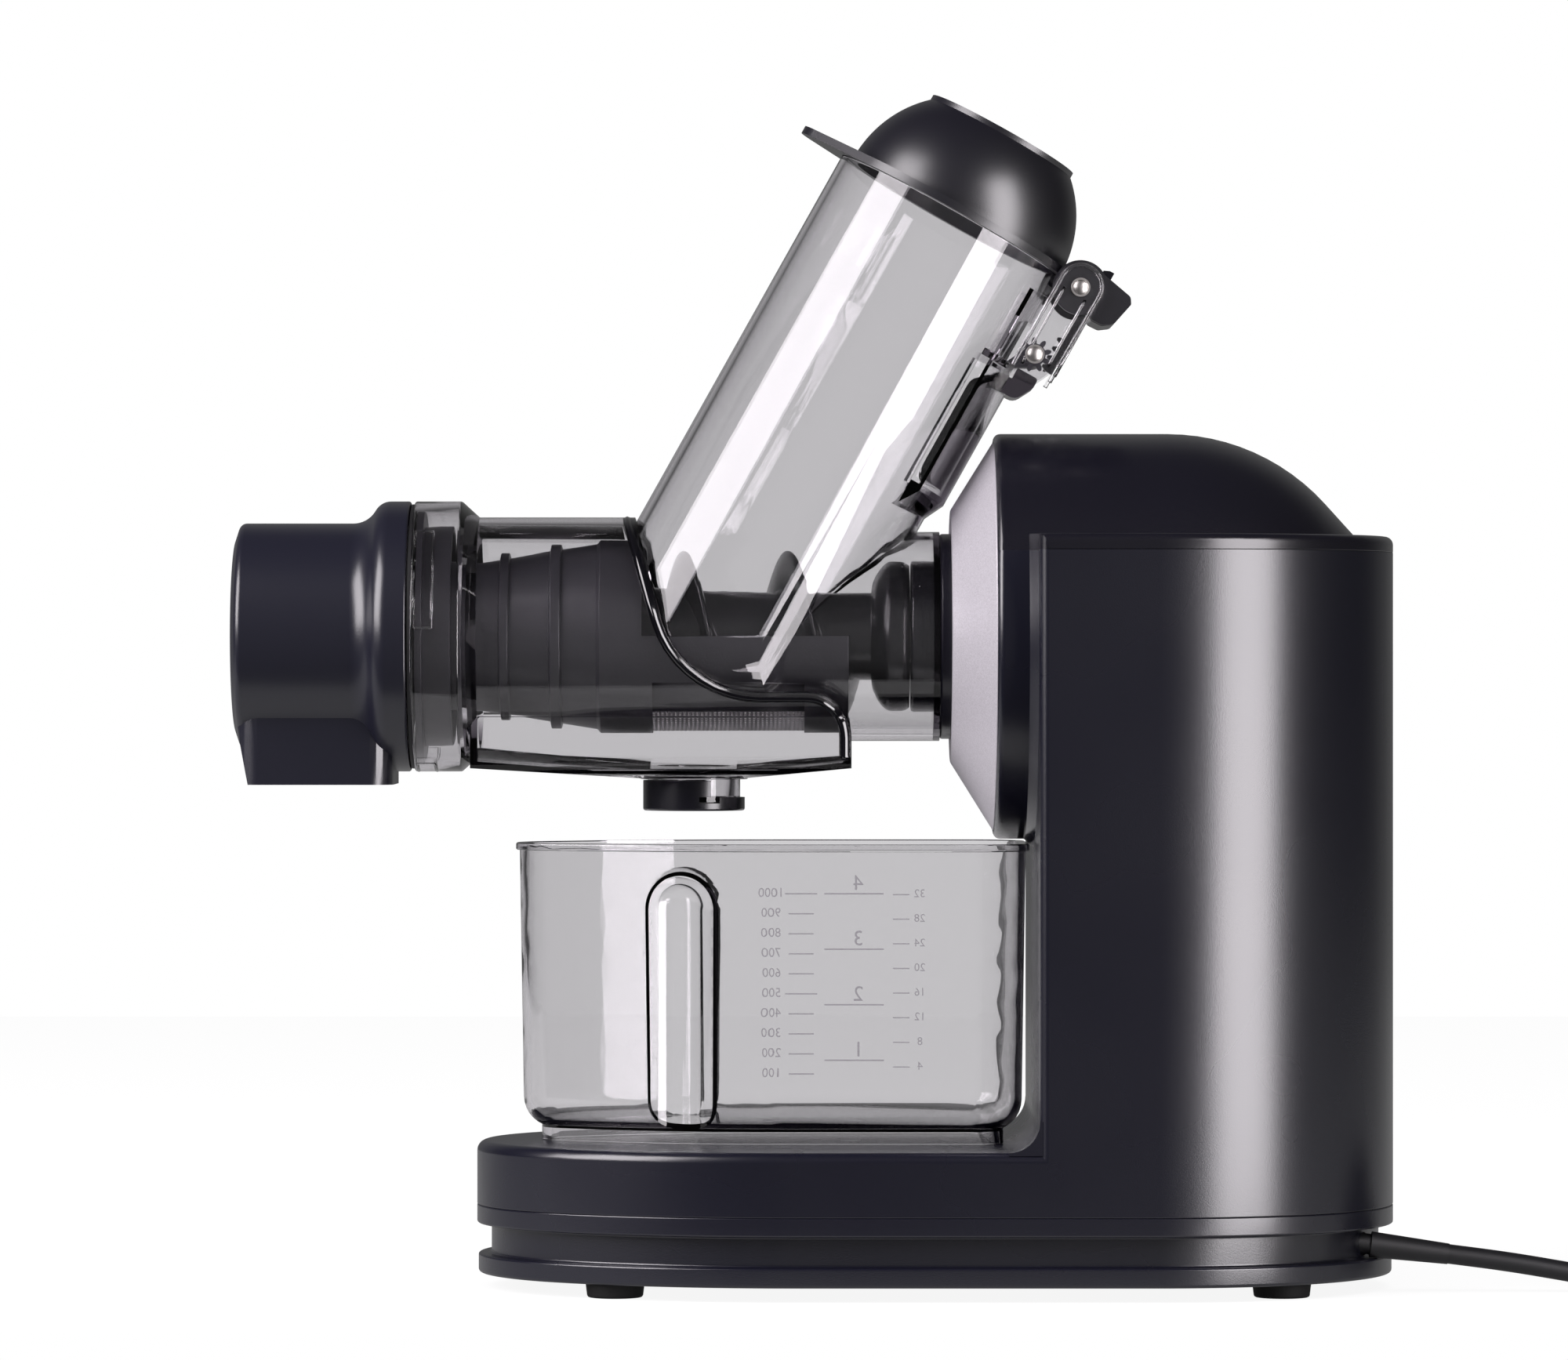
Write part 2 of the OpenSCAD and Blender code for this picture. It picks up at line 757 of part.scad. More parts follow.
module gear_case_front() {
  color(black_abs)
    difference() {
      case_prism(bulkhead_back, plate_back);
      disc(bearing_r + 0.02, bulkhead_back + 0.5, plate_back + 1);
      disc(bearing_r - 3, bulkhead_back - 1, bulkhead_back + 1);
      disc(axle_r + 0.02, plate_back - 4, plate_back + 1, middle_h);
      for (a = [45:90:315])
        disc(1.5 + screw_slack, bulkhead_back - 1, bulkhead_back + 6,
             axis_h + case_screw_pcd * sin(a), case_screw_pcd * cos(a));
      for (s = case_screw_places)
        disc(1.5 + screw_slack, plate_back - 6, plate_back + 1, s[0], s[1]);
    }
}

module gear_case() {
  color(black_abs)
    difference() {
      union() {
        difference() {
          case_prism(plate_back, case_back);
          case_prism(plate_back - 1, case_back - case_wall, case_wall);
        }
        disc(rear_shaft_r + 4, case_back - case_wall - 5, case_back);
        disc(axle_r + 3, case_back - case_wall - 4, case_back, middle_h);
      }
      disc(rear_shaft_r + run, case_back - case_wall - 6, case_back - 1);
      disc(axle_r + 0.02, case_back - case_wall - 5, case_back - 1, middle_h);
      disc(rotor_shaft_r + 4, case_back - case_wall - 1, case_back + 1, rotor_h);
      for (s = case_screw_places)
        disc(1.5 + screw_slack, plate_back - 1, case_back + 1, s[0], s[1]);
    }
}

module case_screws() {
  color(steel) {
    for (a = [45:90:315])
      translate([0, case_screw_pcd * cos(a), 0])
        on_axis(axis_h + case_screw_pcd * sin(a))
          translate([0, 0, column_face]) pan_screw(1.5, 3, wall + 5);
    for (s = case_screw_places)
      translate([case_back, s[1], s[0]])
        rotate([0, -90, 0]) pan_screw(1.5, 3, case_depth + 5);
  }
}

module output_bearing() {
  color(steel)
    turned([[shaft_r + run, plate_back - bearing_w, 0.4], [bearing_r, plate_back - bearing_w, 0.4],
            [bearing_r, plate_back, 0.4], [shaft_r + run, plate_back, 0.4]], 2);
}

socket_front = collar_front + 3;
socket_depth = 24;
socket_r = 13;

module output_shaft() {
  color(steel)
    difference() {
      union() {
        disc(socket_r, socket_front, plate_back - bearing_w - 0.5);
        disc(shaft_r, plate_back - bearing_w - 0.5, output_gear_at);
        disc(rear_shaft_r, output_gear_at, case_back - 1.5);
      }
      on_axis() translate([0, 0, socket_front - 1])
        cylinder(r = hex_r + 0.12, h = socket_depth + 1, $fn = 6);
    }
}

module output_gear() {
  color(gear_white)
    difference() {
      union() {
        on_axis() translate([0, 0, output_gear_at]) linear_extrude(output_gear_w)
          polygon(gear_outline(output_teeth, output_pitch_r, gear_m, gear_ded, gear_thin));
        disc(rear_shaft_r + 4, output_gear_at, output_gear_at + output_gear_w + 3);
      }
      disc(rear_shaft_r + 0.02, output_gear_at - 1, output_gear_at + output_gear_w + 4);
      for (side = [0, 1])
        turned([[rear_shaft_r + 4, side ? output_gear_at + output_gear_w - 2 : output_gear_at - 1, 0],
                [output_pitch_r - 5, side ? output_gear_at + output_gear_w - 2 : output_gear_at - 1, 0],
                [output_pitch_r - 5, side ? output_gear_at + output_gear_w + 1 : output_gear_at + 2, 0],
                [rear_shaft_r + 4, side ? output_gear_at + output_gear_w + 1 : output_gear_at + 2, 0]]);
    }
}

module middle_axle() {
  color(steel)
    disc(axle_r, plate_back - 3.5, case_back - 1.5, middle_h);
}

module middle_gear() {
  color(steel)
    difference() {
      union() {
        on_axis(middle_h) translate([0, 0, output_gear_at - 1]) rotate([0, 0, 180 / pinion_teeth])
          linear_extrude(middle_gear_at - output_gear_at + 1)
            polygon(gear_outline(pinion_teeth, pinion_pitch_r, gear_m, gear_ded, gear_thin));
        on_axis(middle_h) translate([0, 0, middle_gear_at]) linear_extrude(middle_gear_w)
          polygon(gear_outline(middle_teeth, middle_pitch_r, gear_m, gear_ded, gear_thin));
      }
      disc(axle_r + run, output_gear_at - 2, middle_gear_at + middle_gear_w + 1, middle_h);
    }
}

can_wall = 2;
stator_t = 3.2;
rotor_gap = 0.8;
can_back = case_back + motor_len;
motor_bush_r = rotor_shaft_r + 4;

module motor_can() {
  color(steel)
    difference() {
      union() {
        disc(motor_r, case_back, can_back, rotor_h);
        disc(motor_bush_r, can_back, can_back + 3, rotor_h);
      }
      disc(motor_r - can_wall, case_back + can_wall, can_back - can_wall, rotor_h);
      disc(rotor_shaft_r + run, case_back - 1, can_back + 4, rotor_h);
    }
}

module motor_stator() {
  color([0.35, 0.33, 0.32])
    difference() {
      disc(motor_r - can_wall - 0.02, case_back + 9, can_back - 11, rotor_h);
      disc(motor_r - can_wall - stator_t, case_back + 8, can_back - 10, rotor_h);
    }
}

rotor_end = can_back + 14;

module motor_rotor() {
  color(steel)
    union() {
      on_axis(rotor_h) translate([0, 0, middle_gear_at - 1]) rotate([0, 0, 180 / pinion_teeth])
        linear_extrude(middle_gear_w + 2)
          polygon(gear_outline(pinion_teeth, pinion_pitch_r, gear_m, gear_ded, gear_thin));
      disc(rotor_shaft_r, middle_gear_at, rotor_end, rotor_h);
      disc(motor_r - can_wall - stator_t - rotor_gap, case_back + 12, can_back - 14, rotor_h);
      disc(rotor_shaft_r + 6, can_back - 14, can_back - 4, rotor_h);
    }
}

fan_at = can_back + 5;
fan_w = 6;
fan_r = 26;
fan_blades = 9;
fan_hub_r = 8;

module cooling_fan() {
  color(deep_black)
    difference() {
      union() {
        disc(fan_hub_r, fan_at, fan_at + fan_w, rotor_h);
        disc(fan_r, fan_at, fan_at + 1.4, rotor_h);
        on_axis(rotor_h)
          for (i = [0:fan_blades - 1])
            rotate([0, 0, 360 / fan_blades * i])
              translate([fan_hub_r - 1, -0.7, fan_at]) cube([fan_r - fan_hub_r - 0.5, 1.4, fan_w]);
      }
      disc(rotor_shaft_r + 0.02, fan_at - 1, fan_at + fan_w + 1, rotor_h);
    }
}

board_h = foot_h + 8;
board_t = 1.6;
board_x0 = 64;
board_x1 = 124;
board_half_w = 24;
board_post_r = 3;
board_posts = [for (x = [board_x0 + 4, board_x1 - 4], y = [-board_half_w + 4, board_half_w - 4]) [x, y]];

module control_board() {
  color([0.10, 0.30, 0.16])
    union() {
      translate([board_x0, -board_half_w, board_h])
        cube([board_x1 - board_x0, 2 * board_half_w, board_t]);
      translate([board_x0 + 14, 0, board_h + board_t]) cube([18, 14, 10]);
      translate([board_x0 + 44, 0, board_h + board_t]) cylinder(r = 7, h = 18, $fn = 48);
      translate([board_x0 + 16, -16, board_h + board_t]) cube([10, 8, 12]);
    }
}

// ---------- switch ----------

knob_depth = 13;
switch_back = base_half_w - wall - 22;

module switch_body() {
  color(deep_black)
    difference() {
      translate([knob_x - 13, switch_back, knob_h - 13])
        cube([26, base_half_w - wall - switch_back, 26]);
      translate([knob_x, switch_back + 6, knob_h])
        rotate([-90, 0, 0]) cylinder(r = knob_shaft_r + run, h = 40, $fn = 48);
    }
}

module switch_knob() {
  color(black_abs)
    translate([knob_x, 0, knob_h])
      rotate([-90, 0, 0])
        difference() {
          union() {
            translate([0, 0, base_half_w + 0.4])
              rotate_extrude($fn = 96)
                polygon(rounded([[0, 0, 0], [knob_r, 0, 0.6], [knob_r - 0.8, knob_depth, 1.2],
                                 [knob_r - 3, knob_depth, 0.4], [knob_r - 3.5, knob_depth - 1, 0],
                                 [0, knob_depth - 1, 0]], 4));
            // grip bar across the knob
            translate([-3, -knob_r + 4, base_half_w + 0.4 + knob_depth - 1.5])
              cube([6, 2 * knob_r - 8, 5]);
            translate([0, 0, switch_back + 8])
              cylinder(r = knob_shaft_r, h = base_half_w + 1 - switch_back - 8, $fn = 48);
          }
          // pointer groove
          translate([-0.6, -knob_r + 3, base_half_w + 0.4 + knob_depth + 2.7])
            cube([1.2, 9, 1.5]);
        }
}

// ---------- chamber ----------

edge_lean = 16;
edge_round = 35;
tongue_round = 15;
tongue_h = axis_h - 19.4;
edge_foot = -85.9;
collar_end = -drum_left + end_collar_len;
shoulder_end = collar_end + 6;

// Region of the wide drum, seen from the front: its right edge leans, sweeps round and runs under the chute
module wide_region(inset) {
  shift = inset * (1 - sin(edge_lean)) / cos(edge_lean);
  foot = edge_foot - shift;
  top = axis_h + 60;
  polygon(rounded([
      [-far, 100, 0], [-trough_right - inset, 100, 0],
      [-trough_right - inset, tongue_h - inset, tongue_round - inset],
      [foot, tongue_h - inset, edge_round + inset],
      [foot - (top - tongue_h + inset) * tan(edge_lean), top, 0],
      [-far, top, 0]], 12));
}

trough_round = 8;

module trough_form(inset) {
  w = trough_half_w - inset;
  intersection() {
    across(-w, w)
      polygon([[-trough_left + inset, trough_end + inset], [-spout_x - spout_r, trough_low + inset],
               [-spout_x + spout_r, trough_low + inset], [-trough_right, trough_end + inset],
               [-trough_right, axis_h], [-trough_left + inset, axis_h]]);
    translate([-far, 0, 0])
      rotate([90, 0, 90])
        linear_extrude(2 * far)
          polygon(rounded([[-w, trough_low + inset, trough_round - inset],
                           [w, trough_low + inset, trough_round - inset],
                           [w, axis_h + 1, 0], [-w, axis_h + 1, 0]], 6));
  }
}

module wide_form(inset) {
  intersection() {
    union() {
      disc(drum_r - inset, -drum_left + 4, -trough_right);
      trough_form(inset);
    }
    across(-far, far) wide_region(inset);
  }
}

// The chute's lower end closes round the auger's axis, just inside the wide drum's face
chute_foot_r = drum_r - 0.8;

module chute_form(inset) {
  r = chute_r - inset;
  difference() {
    on_chute() translate([0, 0, -far]) cylinder(r = r, h = far + (inset > 0 ? 1 : 0), $fn = 120);
    translate([-far, -far, -far]) cube([2 * far, 2 * far, axis_h + far]);
  }
  intersection() {
    on_chute() translate([0, 0, -far]) cylinder(r = r, h = far - pocket_low, $fn = 120);
    disc(chute_foot_r - inset, -130, -12);
  }
}

pocket_r = 46.5;
pocket_half_w = 28.5;
pocket_top = flap_depth + 6.5;
pocket_low = 88;
pocket_taper = 7;
flap_half_w = 24;
flap_low = 84;
flap_out_r = chute_r + 0.2;
flap_t = 2.2;
window_top = flap_depth - 9;
window_half_w = 13;

ear_in = 21.5;
ear_t = 2.5;
ear_round = 7.6;
ear_reach = 58.3;
lid_pivot_u = -0.4;

module ear_plan() {
  polygon(rounded([[36, -pocket_top - 2, 0], [53, -pocket_top - 2, 4], [57.6, -flap_depth + 1, 3],
                   [ear_reach, lid_pivot_u + ear_round + 0.2, ear_round],
                   [lid_pivot - ear_round, lid_pivot_u + ear_round + 0.2, ear_round - 0.4],
                   [lid_pivot - ear_round, -9, 0], [34, -9, 0]], 6));
}

module chute_hinge_outside() {
  on_chute() {
    // bulge that the flap folds into
    intersection() {
      union() {
        translate([0, 0, -pocket_low]) cylinder(r = pocket_r, h = pocket_low - pocket_top, $fn = 120);
        translate([0, 0, -pocket_low - pocket_taper])
          cylinder(r1 = chute_r, r2 = pocket_r, h = pocket_taper, $fn = 120);
      }
      translate([20, -pocket_half_w, -120]) cube([40, 2 * pocket_half_w, 120]);
    }
    // box under the hinge
    across(-14, 14)
      polygon(rounded([[38, -pocket_top - 10, 0], [50, -pocket_top - 10, 4],
                       [53.5, -pocket_top - 3.5, 2], [53.5, -pocket_top, 1], [38, -pocket_top, 0]], 4));
    // ears that carry the two pins
    for (s = [0, 1])
      mirror([0, s, 0])
        across(ear_in, ear_in + ear_t) ear_plan();
  }
}

nozzle_low = trough_low - 8.2;
nozzle_bore = 12.6;
nozzle_hole_r = 5.2;
nozzle_hole_at = 6.2;
nozzle_floor = 2;

module juicing_chamber() {
  color(smoke_clear)
    difference() {
      union() {
        wide_form(0);
        turned([[0, -drum_left, 0], [end_collar_r, -drum_left, 0.8], [end_collar_r, collar_end, 1.5],
                [drum_r, shoulder_end, 0], [0, shoulder_end, 0]], 4);
        disc(drum_rear_r, -110, collar_front);
        chute_form(0);
        chute_hinge_outside();
        // spout with its flare
        translate([-spout_x, 0, nozzle_low]) cylinder(r = spout_r, h = 14, $fn = 96);
        translate([-spout_x, 0, trough_low - 0.4])
          cylinder(r1 = spout_r + 2.4, r2 = spout_r + 5.5, h = 4, $fn = 96);
      }
      wide_form(clear_wall);
      disc(end_collar_r - 3, -drum_left - 1, collar_end + 0.7);
      disc(drum_r - clear_wall, -drum_left, shoulder_end + 4);
      disc(drum_rear_r - clear_wall, -112, collar_front - 2.3);
      disc(nose_r + 0.25, -20, collar_front + 1);
      chute_form(clear_wall);
      on_chute() {
        // pocket for the folded flap, and the window for its arm
        intersection() {
          translate([0, 0, -pocket_low + 2])
            cylinder(r = chute_r + 1, h = pocket_low - pocket_top - 4.5, $fn = 120);
          translate([20, -pocket_half_w + clear_wall, -120])
            cube([40, 2 * pocket_half_w - 2 * clear_wall, 120]);
        }
        translate([30, -window_half_w, -pocket_top - 4])
          cube([15.5, 2 * window_half_w, pocket_top + 4 - window_top]);
        translate([30, -window_half_w, -pocket_top + 0.01])
          cube([30, 2 * window_half_w, pocket_top - window_top - 0.01]);
        // bores for the two hinge pins
        for (p = [[lid_pivot, lid_pivot_u], [flap_pivot, -flap_depth]])
          translate([p[0], -30, p[1]])
            rotate([-90, 0, 0]) cylinder(r = pin_r + 0.02, h = 60, $fn = 48);
      }
      // spout passage
      translate([-spout_x, 0, nozzle_low + nozzle_floor]) cylinder(r = nozzle_bore, h = 20, $fn = 96);
      translate([-spout_x + nozzle_hole_at, 0, nozzle_low - 1]) cylinder(r = nozzle_hole_r, h = 6, $fn = 48);
    }
}

// ---------- strainer and auger ----------

strainer_flange_at = -drum_left + 1.4;
strainer_flange_t = 2.5;
cone_start = -156.5;
cone_end = -116.2;
cone_end_r = strainer_r - 1.3;
feed_start = -100.6;
strainer_end = -30;
sleeve_end = -drum_left + 13.4;
strainer_sleeve_r = drum_r - 3.4;
mesh_start = -97;
mesh_end = -45;
mesh_angle = 62;
mesh_t = 0.6;

function cone_r(x) =
  strainer_tip_r + (cone_end_r - strainer_tip_r) * (x - cone_start) / (cone_end - cone_start);

// A wedge either side of straight down, from x0 to x1
module lower_wedge(x0, x1, half_angle) {
  on_axis() translate([0, 0, x0])
    linear_extrude(x1 - x0)
      polygon([[0, 0], 60 * [cos(half_angle), sin(half_angle)], [60, 0],
               60 * [cos(half_angle), -sin(half_angle)]]);
}

module strainer() {
  inner_r = strainer_r - strainer_wall;
  color(deep_black)
    difference() {
      // closed cone, where the pulp is pressed dry, and the shell under the feed chute
      turned([
          [strainer_tip_r - strainer_wall, strainer_flange_at, 0],
          [end_collar_r - 3 - clear, strainer_flange_at, 0.3],
          [end_collar_r - 3 - clear, strainer_flange_at + strainer_flange_t, 0.3],
          [strainer_sleeve_r, strainer_flange_at + strainer_flange_t, 0],
          [strainer_sleeve_r, sleeve_end, 0.4],
          [strainer_sleeve_r - strainer_wall, sleeve_end, 0.4],
          [strainer_sleeve_r - strainer_wall, strainer_flange_at + strainer_flange_t, 0],
          [strainer_tip_r, strainer_flange_at + strainer_flange_t, 0], [strainer_tip_r, cone_start, 0],
          [cone_r(-149.7), -149.7, 0], [cone_r(-147) + 1.9, -149.2, 0.4],
          [cone_r(-147) + 1.9, -146.3, 0.4], [cone_r(-145.8), -145.8, 0],
          [cone_r(-132.4), -132.4, 0], [cone_r(-130) + 2, -131.9, 0.4],
          [cone_r(-130) + 2, -128.5, 0.4], [cone_r(-128), -128, 0],
          [cone_end_r, cone_end, 0], [strainer_r, cone_end + 1.2, 0.4],
          [strainer_r, strainer_end, 0.4], [inner_r, strainer_end, 0],
          [inner_r, cone_end + 1, 0], [cone_end_r - strainer_wall, cone_end, 0],
          [strainer_tip_r - strainer_wall, cone_start, 0]], 3);
      translate([feed_start, -far, axis_h]) cube(far * [1, 2, 1]);
      lower_wedge(mesh_start, mesh_end, mesh_angle);
    }
}

module strainer_mesh() {
  mid_r = strainer_r - strainer_wall / 2;
  color(steel)
    intersection() {
      turned([[mid_r - mesh_t / 2, mesh_start, 0], [mid_r + mesh_t / 2, mesh_start, 0],
              [mid_r + mesh_t / 2, mesh_end, 0], [mid_r - mesh_t / 2, mesh_end, 0]]);
      lower_wedge(mesh_start, mesh_end, mesh_angle);
    }
}

// The auger is one moulding: a core, a spiral flight round it, and a flange at the back
auger_tip = -176;
auger_end = -9;
flange_front = -22;
flange_r = 25.7;
flight_half = 24;
auger_steps = 58;
auger_sides = 40;
auger_tip_r = 7;
front_pin_r = 4.5;
front_pin_end = -195;

function ramp(x, x0, x1) = max(0, min(1, (x - x0) / (x1 - x0)));
function core_at(x) =
  x > flange_front + 4 ? flange_r - 1.5 * pow(ramp(x, flange_front + 4, flange_front + 7) - 1, 2)
            - 1.2 * pow(ramp(x, auger_end - 3, auger_end), 2)
  : x > flange_front ? core_r + (flange_r - core_r - 1.5) * sqrt(ramp(x, flange_front, flange_front + 4))
  : x > -60 ? core_r
  : x > cone_start ? core_r + 4.5 * ramp(x, -60, cone_start)
  : auger_tip_r + (core_r + 4.5 - auger_tip_r) * sqrt(1 - pow(1 - ramp(x, auger_tip, cone_start), 2));
function flight_at(x) =
  x > flange_front ? core_at(x)
  : x > cone_end + 3 ? flight_r
  : x > cone_start ? min(flight_r, cone_r(x) - strainer_wall - 0.7)
  : core_at(x)
    + (strainer_tip_r - strainer_wall - 0.7 - core_at(cone_start)) * ramp(x, cone_start - 6, cone_start);
function from_flight(x, a) =
  let (d = a - 180 + 360 * (x + 50.6) / flight_pitch, w = d - 360 * round(d / 360))
  max(0, 1 - pow(abs(w) / flight_half, 3));
function auger_point(x, a) =
  let (c = core_at(x), r = c + max(0, flight_at(x) - c) * from_flight(x, a))
  [r * cos(a), r * sin(a), x];

module auger() {
  xs = [for (i = [0:auger_steps]) auger_tip + (auger_end - auger_tip) * i / auger_steps];
  rings = [for (x = xs) for (k = [0:auger_sides - 1]) auger_point(x, 360 * k / auger_sides)];
  last = auger_steps * auger_sides;
  color(deep_black) {
    on_axis()
      polyhedron(
          points = concat(rings, [[0, 0, auger_tip], [0, 0, auger_end]]),
          faces = concat(
              [for (i = [0:auger_steps - 1]) for (k = [0:auger_sides - 1])
                  let (a = i * auger_sides + k, b = i * auger_sides + (k + 1) % auger_sides)
                  each [[a, a + auger_sides, b], [b, a + auger_sides, b + auger_sides]]],
              [for (k = [0:auger_sides - 1]) [k, (k + 1) % auger_sides, last + auger_sides]],
              [for (k = [0:auger_sides - 1]) [last + (k + 1) % auger_sides, last + k, last + auger_sides + 1]]));
    disc(front_pin_r, front_pin_end, auger_tip);
  }
}

shaft_tip = socket_front + socket_depth - 1.5;

module auger_drive_shaft() {
  color(steel) {
    disc(journal_r, auger_end, socket_front - 0.6);
    on_axis() translate([0, 0, socket_front - 0.6])
      cylinder(r = hex_r, h = shaft_tip - socket_front + 0.6, $fn = 6);
  }
}

// ---------- pulp cap ----------

seal_gap = 1.4;
ring_right = -drum_left - seal_gap;
ring_left = -192.4;
ring_hollow_r = end_collar_r - 3.2;
cap_wall = 2.4;
pulp_left = 0.2 - cap_left;
pulp_slant = 4.4;
pulp_top = 28.5;
pulp_right = -185.6;
pulp_round = 8;
bush_r = 8;
bush_bore_r = front_pin_r + 1.2;

module pulp_form(inset) {
  w = pulp_half_w - inset;
  low = axis_h - pulp_drop - (inset > 0 ? 1 : 0);
  intersection() {
    // the left face stands flush with the cap's end and leans in towards the mouth
    across(-w, w)
      polygon([[pulp_left + pulp_slant + inset, low], [pulp_left + inset, axis_h - pulp_top],
               [pulp_left + inset, axis_h], [pulp_right - inset, axis_h], [pulp_right - inset, low]]);
    translate([0, 0, axis_h - pulp_drop - 2])
      linear_extrude(far)
        polygon(rounded([[pulp_left + inset, -w, pulp_round - inset],
                         [pulp_right - inset, -w, pulp_round - inset],
                         [pulp_right - inset, w, pulp_round - inset],
                         [pulp_left + inset, w, pulp_round - inset]], 5));
  }
}

module pulp_cap() {
  color(black_abs)
    difference() {
      union() {
        turned([[0, ring_right, 0], [end_collar_r, ring_right, 0.8], [end_collar_r, ring_left + 2, 6],
                [cap_r, ring_left - 3, 9], [cap_r, -cap_left + 1, 2.5], [cap_r - 6, -cap_left - 1, 3],
                [0, -cap_left - 2.6, 0]], 8);
        pulp_form(0);
      }
      difference() {
        union() {
          turned([[0, ring_right + 1, 0], [ring_hollow_r, ring_right + 1, 0],
                  [ring_hollow_r, ring_left + 4, 0], [cap_r - cap_wall, ring_left, 0],
                  [cap_r - cap_wall, -cap_left + cap_wall + 1, 0], [0, -cap_left + cap_wall, 0]]);
          pulp_form(cap_wall);
        }
        // boss in the middle that carries the auger's front pin
        disc(bush_r, -cap_left - 1, -188);
      }
      disc(bush_bore_r, -198, -187);
    }
}

module cap_bush() {
  color([0.85, 0.84, 0.80])
    turned([[front_pin_r + run, -197, 0], [bush_bore_r - 0.02, -197, 0], [bush_bore_r - 0.02, -188.2, 0],
            [front_pin_r + run, -188.2, 0]]);
}

module cap_seal() {
  color(rubber_black)
    turned([[ring_hollow_r - 2, ring_right + 0.3, 0.3], [end_collar_r - 1, ring_right + 0.3, 0.3],
            [end_collar_r - 1, -drum_left, 0], [ring_hollow_r - 2, -drum_left, 0]], 2);
}

// ---------- drip stop ----------

stop_low = nozzle_low - 3;
stop_r = spout_r + 1.6;
stop_high = trough_low - 0.7;
stop_short = nozzle_low + 1.6;
stop_floor = 1.6;

module drip_stop() {
  color(deep_black)
    translate([-spout_x, 0, 0])
      difference() {
        translate([0, 0, stop_low])
          rotate_extrude($fn = 96)
            polygon(rounded([[0, 0, 0], [stop_r, 0, 0.8], [stop_r, stop_high - stop_low, 0.3],
                             [0, stop_high - stop_low, 0]], 3));
        translate([0, 0, stop_low + stop_floor])
          cylinder(r = spout_r + clear, h = 20, $fn = 96);
        translate([nozzle_hole_at, 0, stop_low - 1]) cylinder(r = nozzle_hole_r, h = 5, $fn = 48);
        // lower half of the wall, and the bayonet notch beside it
        translate([6, -30, stop_short]) cube([40, 60, 20]);
        translate([2, -30, stop_short - 2]) cube([7, 25, 2.2]);
      }
}

module spout_seal() {
  color(rubber_black)
    translate([-spout_x, 0, stop_low + stop_floor])
      difference() {
        cylinder(r = spout_r - 0.4, h = nozzle_low - stop_low - stop_floor - 0.1, $fn = 72);
        translate([nozzle_hole_at, 0, -1]) cylinder(r = nozzle_hole_r, h = 5, $fn = 48);
      }
}

// ---------- lid, hinge and flap ----------

lid_gap = 0.3;
dome_t = 2.2;
dome_x = 1.8;
dome_z = 1.7;
mouth_r = sqrt(dome_r * dome_r - pow(mouth_h - dome_z, 2));
mouth_lip = 2.2;
tab_r = 13;
hub_r = 9.4;
hub_t = 2.6;
hinge_gear_teeth = 9;
hinge_m = 2 * hinge_gear_r / hinge_gear_teeth;
hinge_add = 0.8 * hinge_m;
hinge_ded = 1.0 * hinge_m;
hinge_thin = 0.14;
gear_low = 14.7;
gear_high = 18.3;
tail_in = 14.4;
hub_out = ear_in - clear;

// The thumb tab's plan: a small circle joined to the flange by its two tangents
module lid_plan() {
  d = tab_reach - tab_r;
  a = acos((lid_r - tab_r) / d);
  circle(r = lid_r, $fn = 144);
  translate([-d, 0]) circle(r = tab_r, $fn = 72);
  polygon([polar(lid_r, 180 - a), [-d, 0] + polar(tab_r, 180 - a), [-d, 0] + polar(tab_r, 180 + a),
           polar(lid_r, 180 + a)]);
}

module lid_tail() {
  x = lid_pivot;
  polygon(rounded([[lid_r, lid_gap, 0], [lid_r, 3.5, 0], [x + 1.3, 8.2, 3], [x + 16.6, 5.2, 2], [x + 18, 3, 1],
                   [x + 16.1, -5.6, 2], [x + 12.8, -8, 2], [x + 8.8, -8.2, 1.5], [x + 3.8, -4.6, 1],
                   [x - 6.5, -4.2, 0]], 4));
}

